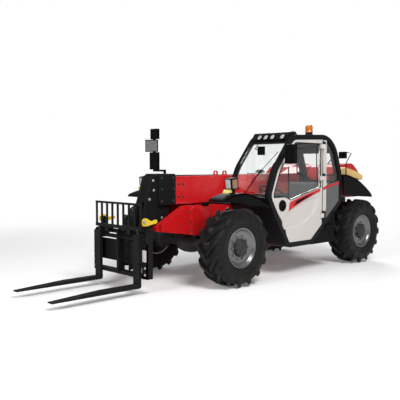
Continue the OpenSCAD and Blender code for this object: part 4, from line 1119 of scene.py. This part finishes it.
class TELEHANDLER_OT_cab(bpy.types.Operator):
    """Dress the cab: post strip, quarter band, seals, wiper, inner mirror, console and pedals"""
    bl_idname = "telehandler.cab_trim"
    bl_label = "Cab trim"

    # Strip on the door's post and the band across it, along X from the hinge
    post = ((-0.012, 0.83), (-0.016, 0.815), (-0.09, 0.86), (-0.093, 0.88), (-0.093, 1.84), (-0.086, 1.855),
            (-0.02, 1.858), (-0.012, 1.845))
    post_band = ((-0.012, 1.19), (-0.093, 1.208), (-0.093, 1.169), (-0.012, 1.149))
    dash = ((-0.75, 0.98), (-0.98, 0.98), (-1.0, 1.06), (-0.94, 1.12), (-0.8, 1.115), (-0.74, 1.06))

    def execute(self, context):
        self.outside()
        self.wiper()
        self.inside()
        return {"FINISHED"}

    def outside(self):
        post, band, seals, rails = (bmesh.new() for _ in range(4))
        prism(post, [(HINGE_X + x, z) for x, z in self.post], 0.9302, 0.9345)
        prism(band, [(HINGE_X + x, z) for x, z in self.post_band], 0.9346, 0.937)
        rear = HINGE_X - 0.105
        prism(band, [(rear, 1.209), (-2.135, 1.266), (-2.135, 1.234), (rear, 1.172)], 0.9252, 0.929)
        line = window_line(0.069, front=HINGE_X - 0.1)
        tube(seals, [spot(p.x, 0.913, p.y) for p in line], 0.008, 8, loop=True)
        for y in (0.27, 0.864):
            edge = [p for p in cab_line(0.008) if p.x > -1.05 and 1.09 < p.y < 1.785]
            tube(seals, [spot(p.x, y, p.y) for p in edge], 0.009, 8)
        for a, b in (((-1.835, 1.765), (-2.094, 1.632)), ((-1.891, 1.522), (-2.054, 1.66))):
            tube(rails, [spot(a[0], 0.895, a[1]), spot(b[0], 0.895, b[1])], 0.008, 8)
        for z in HINGES_Z:
            cap = spot(HINGE_X, HINGE_Y, z + 0.0922)
            lathe(seals, [(0.013, 0), (0.011, 0.006), (0.006, 0.008)], cap, (0, 0, 1), 20)
        piece("post_strip", post, "chassis", "pale_panel", edge=0.001)
        piece("quarter_band", band, "chassis", "red_cover", edge=0.001)
        piece("cab_seals", seals, "chassis", "black_moulding", edge=0)
        piece("quarter_rails", rails, "chassis", "black_moulding", edge=0)

    def wiper(self):
        bm = bmesh.new()
        base, elbow, tip = spot(-0.545, 0.495, 1.083), spot(-0.662, 0.7, 1.45), spot(-0.8, 0.86, 1.68)
        lathe(bm, [(0.022, -0.02), (0.022, 0.012), (0.016, 0.02)], base, (0.93, 0, 0.36), 20)
        arm = [base + Vector((0.015, 0, 0.005)), base.lerp(elbow, 0.5) + Vector((0.022, 0, 0.01)), elbow]
        tube(bm, curve(arm, 5), 0.006, 8)
        low = spot(-0.6, 0.6, 1.29)
        tube(bm, curve([low, elbow + Vector((-0.012, 0, -0.004)), tip], 6), 0.005, 6)
        piece("wiper", bm, "chassis", "black_moulding", edge=0)

    def inside(self):
        console, levers, glass = (bmesh.new() for _ in range(3))
        box(console, -1.64, -1.2, 0.262, 0.33, 0.46, 0.85)
        prism(console, [(-1.2, 0.84), (-1.62, 0.84), (-1.64, 0.9), (-1.3, 0.915), (-1.19, 0.89)], 0.262, 0.34)
        prism(console, self.dash, 0.42, 0.74)
        prism(console, [(-1.4, 0.9), (-1.72, 0.94), (-1.72, 0.985), (-1.4, 0.955)], 0.345, 0.4)
        stick = [spot(-1.24, 0.31, 0.9), spot(-1.23, 0.31, 0.97), spot(-1.25, 0.312, 1.04)]
        tube(levers, curve(stick, 5), 0.011, 10)
        lathe(levers, [(0.018, 0), (0.026, 0.02), (0.026, 0.06), (0.014, 0.078)], spot(-1.25, 0.312, 1.03),
              (0, 0, 1), 20)
        for y in (0.45, 0.7):
            prism(levers, [(-0.96, 0.56), (-0.985, 0.56), (-1.0, 0.66), (-0.975, 0.67)], y - 0.04, y + 0.04)
            tube(levers, [spot(-0.97, y, 0.62), spot(-0.93, y, 0.72)], 0.009, 8)
        box(glass, -0.81, -0.795, 0.503, 0.632, 1.64, 1.757)
        tube(levers, [spot(-0.81, 0.56, 1.7), spot(-0.87, 0.404, 1.726), spot(-0.93, 0.4, 1.785)], 0.006, 8)
        piece("side_console", console, "chassis", "black_moulding", edge=0.006)
        piece("cab_levers", levers, "chassis", "black_moulding", edge=0.002)
        piece("inner_mirror", glass, "chassis", "black_moulding", edge=0.006)


class TELEHANDLER_OT_mirrors(bpy.types.Operator):
    """Make the mirrors: housings, masts and struts, glass and clamps"""
    bl_idname = "telehandler.mirror_trim"
    bl_label = "Mirrors"

    left = ((-0.77, 1.52), (-0.715, 1.52), (-0.705, 1.64), (-0.715, 1.77), (-0.77, 1.77))
    left_radii = (0.015, 0.015, 0.06, 0.015, 0.015)
    strut = ((0.885, 1.353), (0.885, 1.54), (0.968, 1.682), (0.88, 1.7))
    turn = math.radians(45)

    def turned(self, bm, depth, half, low, high):
        """A block of the right mast's middle mirror, which is turned about the mast."""
        turn = Matrix.Rotation(self.turn, 3, "Z")
        face = ((-half, low), (half, low), (half, high), (-half, high))
        skin(bm, [[spot(-0.255, -1.105, 0) + turn @ Vector((x, y, z)) for y, z in face] for x in depth])

    def execute(self, context):
        glass, clamps, shells = (bmesh.new() for _ in range(3))
        box(shells, -0.81, -0.74, 0.9303, 1.112, 1.6, 1.62)
        prism(shells, rounded(self.left, self.left_radii), 1.0392, 1.19)
        box(shells, -0.32, -0.29, -0.88, -0.85, 1.1033, 1.44)
        box(shells, -0.32, -0.29, -1.12, -0.85, 1.41, 1.44)
        box(shells, -0.32, -0.29, -1.12, -1.09, 1.41, 1.96)
        box(shells, -0.34, -0.28, -1.19, -1.025, 1.44, 1.7)
        box(shells, -0.34, -0.28, -1.17, -1.025, 1.895, 2.05)
        box(shells, -2.412, -2.376, 0.762, 0.884, 1.606, 1.708)
        tube(shells, [spot(-2.392, y, z) for y, z in self.strut], 0.007, 10)
        box(glass, -0.774, -0.7695, 1.055, 1.178, 1.54, 1.75)
        box(glass, -0.344, -0.3395, -1.178, -1.037, 1.455, 1.685)
        box(glass, -0.344, -0.3395, -1.158, -1.037, 1.91, 2.035)
        box(glass, -2.4165, -2.4115, 0.772, 0.874, 1.615, 1.7)
        self.turned(shells, (-0.02, 0.025), 0.095, 1.705, 1.885)
        self.turned(glass, (0.0252, 0.0285), 0.083, 1.717, 1.873)
        tube(clamps, [spot(-0.75, 0.9305, 1.61), spot(-0.75, 1.08, 1.61)], 0.011, 12)
        for z in (1.46, 1.67, 1.72, 1.87, 1.915):
            lathe(clamps, [(0.026, 0), (0.026, 0.03), (0.022, 0.034)], spot(-0.305, -1.105, z), (0, 0, 1), 20)
        rebuilt("mirror_shells", shells, "mirrors", edge=0.008)
        piece("mirror_faces", glass, "chassis", "rod_chrome", edge=0.001)
        piece("mirror_clamps", clamps, "chassis", "black_moulding", edge=0.001)
        return {"FINISHED"}


class TELEHANDLER_OT_boom(bpy.types.Operator):
    """Dress the boom: cover along its top, bolts of the pads, the collar and the head, hoses"""
    bl_idname = "telehandler.boom_trim"
    bl_label = "Boom trim"

    # Section of the cover across and up
    cover = ((-0.056, 1.3605), (0.05, 1.3605), (0.05, 1.37), (0.044, 1.376), (-0.05, 1.376), (-0.056, 1.37))
    head_bolts = ((0.7, 1.31), (0.69, 1.19), (0.76, 1.08), (0.84, 0.8), (0.56, 0.84))

    def execute(self, context):
        cover, pads, head, dots = (bmesh.new() for _ in range(4))
        prism(cover, self.cover, -2.1, 0.34, "X")
        for s in SIDES:
            side = Vector((0, s, 0))
            bolts(pads, [spot(x, s * 0.15, z) for x in (0.255, 0.325) for z in (1.1, 1.26)], side, 0.011)
            bolts(head, [spot(x, s * 0.15, z) for x in (0.41, 0.6) for z in (1.05, 1.2, 1.34)], side, 0.012)
            bolts(dots, [spot(x, s * 0.1, z) for x, z in self.head_bolts], side, 0.013)
            pin_end = spot(TILT_PIN[0], s * 0.16, TILT_PIN[1])
            lathe(dots, [(0.046, 0), (0.046, 0.012), (0.036, 0.016)], pin_end, side, 32)
        bolts(pads, [spot(x, y, 1.361) for x in (0.255, 0.325) for y in (-0.1, 0.1)], (0, 0, 1), 0.011)
        piece("boom_cover", cover, "boom", "black_moulding", edge=0.002)
        piece("pad_bolts", pads, "boom", "axle_paint", edge=0)
        piece("collar_bolts", head, "jib", "axle_paint", edge=0)
        piece("head_bolts", dots, "jib", "axle_paint", look="pale_bolts", edge=0)
        self.hoses()
        return {"FINISHED"}

    def hoses(self):
        bm = bmesh.new()
        for y in (-0.03, 0.03):
            tube(bm, curve([spot(0.645, y, 1.12), spot(0.7, y, 1.1), spot(0.73, y, 1.0), spot(0.7, y, 0.9),
                            spot(0.685, y * 0.9, 0.885)], 8), 0.013, 10)
            lathe(bm, [(0.018, 0), (0.018, 0.03), (0.015, 0.034)], spot(0.638, y, 1.12), (1, 0, 0), 6)
        piece("tilt_hoses", bm, "jib", "black_moulding", edge=0)


class TELEHANDLER_OT_carriage(bpy.types.Operator):
    """Dress the carriage: blank label, lever bolts and fork stops"""
    bl_idname = "telehandler.carriage_trim"
    bl_label = "Carriage trim"

    def execute(self, context):
        label, dots, stops = (bmesh.new() for _ in range(3))
        prism(label, [(0.452, 0.39), (0.524, 0.39), (0.524, 0.525), (0.452, 0.525)], 1.1502, 1.1516, "X")
        for s in SIDES:
            bolts(dots, [spot(1.106, s * 0.434, 0.84)], (0, s, 0), 0.016)
            bolts(dots, [spot(1.15, s * 0.5, z) for z in (0.24, 0.32)], (1, 0, 0), 0.012)
            y = s * 0.39
            lathe(stops, [(0.014, 0), (0.014, 0.04), (0.02, 0.044), (0.02, 0.056), (0.014, 0.06)],
                  spot(1.165, y, 0.7005), (0, 0, 1), 20)
            ring = ((0.02, 0.745), (0.05, 0.76), (0.03, 0.785), (0, 0.765))
            tube(stops, curve([spot(1.165, y - a, z) for a, z in ring], 5), 0.004, 8)
        piece("blank_label", label, "carriage", "black_paint", look="pale_panel", edge=0)
        piece("lever_bolts", dots, "carriage", "axle_paint", look="pale_bolts", edge=0)
        piece("fork_stops", stops, "carriage", "axle_paint", edge=0.001)
        return {"FINISHED"}


class TELEHANDLER_OT_chassis(bpy.types.Operator):
    """Dress the chassis: pin caps, nose bolts, step, filler cap, bonnet handle and grille"""
    bl_idname = "telehandler.chassis_trim"
    bl_label = "Chassis trim"

    def execute(self, context):
        caps, step, handle, mesh = (bmesh.new() for _ in range(4))
        for s in SIDES:
            side = Vector((0, s, 0))
            x, z = BOOM_PIVOT
            lathe(caps, [(0.075, 0), (0.075, 0.012), (0.068, 0.016)], spot(x, s * 0.1952, z), side, 40)
            bolts(caps, [spot(x + 0.05 * a, s * 0.211, z + 0.05 * b) for a, b in circle(1, 4)], side, 0.01)
            nose = [(0.27, 0.66), (0.27, 0.9), (0.285, 0.78)]
            bolts(caps, [spot(0.2285, s * y, z) for y, z in nose], (1, 0, 0), 0.012)
            bolts(caps, [spot(x + 0.06 * k, s * 0.1952, 1.08) for k in (-1, 1)], side, 0.014)
        prism(step, [(-1.79, 0.62), (-1.99, 0.62), (-1.99, 0.645), (-1.79, 0.645)], 0.88, 0.96)
        for k in range(4):
            box(step, -1.985 + 0.05 * k, -1.965 + 0.05 * k, 0.884, 0.956, 0.645, 0.65)
        lathe(step, [(0.05, 0), (0.05, 0.02), (0.044, 0.026), (0.02, 0.028)], spot(-1.99, 0.9102, 0.78),
              (0, 1, 0), 32, lobes=8, swell=0.04)
        grip = ((-1.5, -0.931), (-1.48, -0.965), (-1.27, -0.965), (-1.25, -0.931))
        tube(handle, curve([spot(x, y, 0.83) for x, y in grip], 8), 0.011, 10)
        for k in range(12):
            box(mesh, -1.81, -1.03, -0.918, -0.914, 0.484 + 0.0165 * k, 0.489 + 0.0165 * k)
        piece("pin_caps", caps, "chassis", "axle_paint", edge=0.001)
        piece("step_and_filler", step, "chassis", "black_moulding", edge=0.002)
        piece("bonnet_handle", handle, "bonnet", "black_moulding", edge=0)
        piece("grille_wires", mesh, "chassis", "black_moulding", edge=0)
        return {"FINISHED"}


class TELEHANDLER_OT_finishes(bpy.types.Operator):
    """Give each solid of the frame its finish and soften its edges"""
    bl_idname = "telehandler.finishes"
    bl_label = "Finish the solids"

    def execute(self, context):
        for row in frame["record"]["subparts"]:
            solid = frame["nodes"][row["node"]]
            solid.data.materials.clear()
            solid.data.materials.append(finish(row["material_slot"]))
            weld = solid.modifiers.new("weld", "WELD")
            weld.merge_threshold = 1e-5
            soften(solid, 0.004)
        return {"FINISHED"}


class TELEHANDLER_OT_studio(bpy.types.Operator):
    """Set up the camera, the pale floor and the soft light"""
    bl_idname = "telehandler.studio"
    bl_label = "Studio"

    def execute(self, context):
        studio = settings().studio
        self.camera(context, studio)
        self.floor(context, studio)
        self.world(context)
        self.lamp(context, "key", (2.5, 6.5, 7.5), 4.0, 780)
        self.lamp(context, "front", (8.5, 1.5, 4.0), 3.0, 290)
        self.lamp(context, "rim", (-7.0, -5.0, 6.5), 5.0, 520)
        context.scene.view_settings.view_transform = "Standard"
        return {"FINISHED"}

    def camera(self, context, studio):
        data = bpy.data.cameras.new("camera")
        data.sensor_width = 36.0
        data.lens = studio.lens
        data.shift_x = 0.0158
        data.shift_y = 0.0005
        camera = bpy.data.objects.new("camera", data)
        context.scene.collection.objects.link(camera)
        camera.location = spot(studio.camera_x, studio.camera_y, studio.camera_z)
        level = math.cos(studio.pitch)
        ahead = Vector((math.cos(studio.yaw) * level, math.sin(studio.yaw) * level, -math.sin(studio.pitch)))
        camera.rotation_euler = ahead.to_track_quat("-Z", "Y").to_euler()
        context.scene.camera = camera

    def floor(self, context, studio):
        half = studio.floor
        mesh = bpy.data.meshes.new("floor")
        corners = [(-half, -half, 0), (half, -half, 0), (half, half, 0), (-half, half, 0)]
        mesh.from_pydata(corners, [], [(0, 1, 2, 3)])
        floor = bpy.data.objects.new("floor", mesh)
        context.scene.collection.objects.link(floor)
        mesh.materials.append(self.floor_finish())

    def floor_finish(self):
        material, tree, shader = new_material("pale_floor")
        tree.nodes.remove(shader)
        place = add_node(tree, "ShaderNodeTexCoord").outputs["Object"]
        reach = add_node(tree, "ShaderNodeVectorMath", [(0, place)], operation="LENGTH").outputs["Value"]
        far = add_node(tree, "ShaderNodeMapRange", [("Value", reach), ("From Min", 3.5), ("From Max", 9.0)],
                       interpolation_type="SMOOTHSTEP").outputs[0]
        path = add_node(tree, "ShaderNodeLightPath")
        seen = maths(tree, "MAXIMUM", path.outputs["Is Camera Ray"], path.outputs["Is Glossy Ray"])
        seen = maths(tree, "MAXIMUM", seen, path.outputs["Is Transmission Ray"])
        matt = add_node(tree, "ShaderNodeBsdfDiffuse", [("Color", (0.86, 0.86, 0.86, 1))])
        lift = add_node(tree, "ShaderNodeEmission",
                        [("Color", (1, 1, 1, 1)), ("Strength", maths(tree, "MULTIPLY", seen, 0.12))])
        near = add_node(tree, "ShaderNodeAddShader", [(0, matt.outputs[0]), (1, lift.outputs[0])])
        white = add_node(tree, "ShaderNodeEmission", [("Color", (1, 1, 1, 1)), ("Strength", 1.0)])
        fade = maths(tree, "MULTIPLY", far, seen)
        blend = add_node(tree, "ShaderNodeMixShader",
                         [(0, fade), (1, near.outputs[0]), (2, white.outputs[0])])
        tree.links.new(blend.outputs[0], tree.nodes["Material Output"].inputs["Surface"])
        return material

    def world(self, context):
        world = bpy.data.worlds.new("studio")
        world.use_nodes = True
        tree = world.node_tree
        back = tree.nodes["Background"]
        path = add_node(tree, "ShaderNodeLightPath")
        seen = maths(tree, "MAXIMUM", path.outputs["Is Camera Ray"], path.outputs["Is Transmission Ray"])
        tree.links.new(maths(tree, "ADD", maths(tree, "MULTIPLY", seen, 0.78), 0.22), back.inputs["Strength"])
        back.inputs["Color"].default_value = (1, 1, 1, 1)
        context.scene.world = world

    def lamp(self, context, name, place, size, power):
        data = bpy.data.lights.new(name, "AREA")
        data.shape = "DISK"
        data.size = size
        data.energy = power
        lamp = bpy.data.objects.new(name, data)
        context.scene.collection.objects.link(lamp)
        lamp.location = place
        lamp.rotation_euler = (Vector((0, 0, 0.8)) - lamp.location).to_track_quat("-Z", "Y").to_euler()


OPERATORS = (TELEHANDLER_OT_studio, TELEHANDLER_OT_finishes, TELEHANDLER_OT_cab_shell,
             TELEHANDLER_OT_frame_plates, TELEHANDLER_OT_boom_head, TELEHANDLER_OT_fork_frame,
             TELEHANDLER_OT_mudguards, TELEHANDLER_OT_tyres, TELEHANDLER_OT_rims, TELEHANDLER_OT_lamps,
             TELEHANDLER_OT_seat, TELEHANDLER_OT_door, TELEHANDLER_OT_cab, TELEHANDLER_OT_mirrors,
             TELEHANDLER_OT_boom, TELEHANDLER_OT_carriage, TELEHANDLER_OT_chassis)


class TELEHANDLER_PT_looks(bpy.types.Panel):
    """Lists the steps that dress the machine"""
    bl_label = "Telehandler"
    bl_idname = "TELEHANDLER_PT_looks"
    bl_space_type = "VIEW_3D"
    bl_region_type = "UI"
    bl_category = "Telehandler"

    def draw(self, context):
        for step in OPERATORS:
            self.layout.operator(step.bl_idname)


CLASSES = (FinishColours, StudioSizes, LookSettings, *OPERATORS, TELEHANDLER_PT_looks)


def register():
    for cls in CLASSES:
        bpy.utils.register_class(cls)
    bpy.types.Scene.telehandler = PointerProperty(type=LookSettings)


def unregister():
    del bpy.types.Scene.telehandler
    for cls in reversed(CLASSES):
        bpy.utils.unregister_class(cls)


def main():
    register()
    steps = bpy.ops.telehandler
    for step in (steps.studio, steps.finishes, steps.cab_shell, steps.frame_plates, steps.boom_head,
                 steps.fork_frame, steps.mudguards, steps.tyres, steps.rims, steps.lamps, steps.seat,
                 steps.door_trim, steps.cab_trim, steps.mirror_trim, steps.boom_trim, steps.carriage_trim,
                 steps.chassis_trim):
        step()


if __name__ == "__main__":
    main()
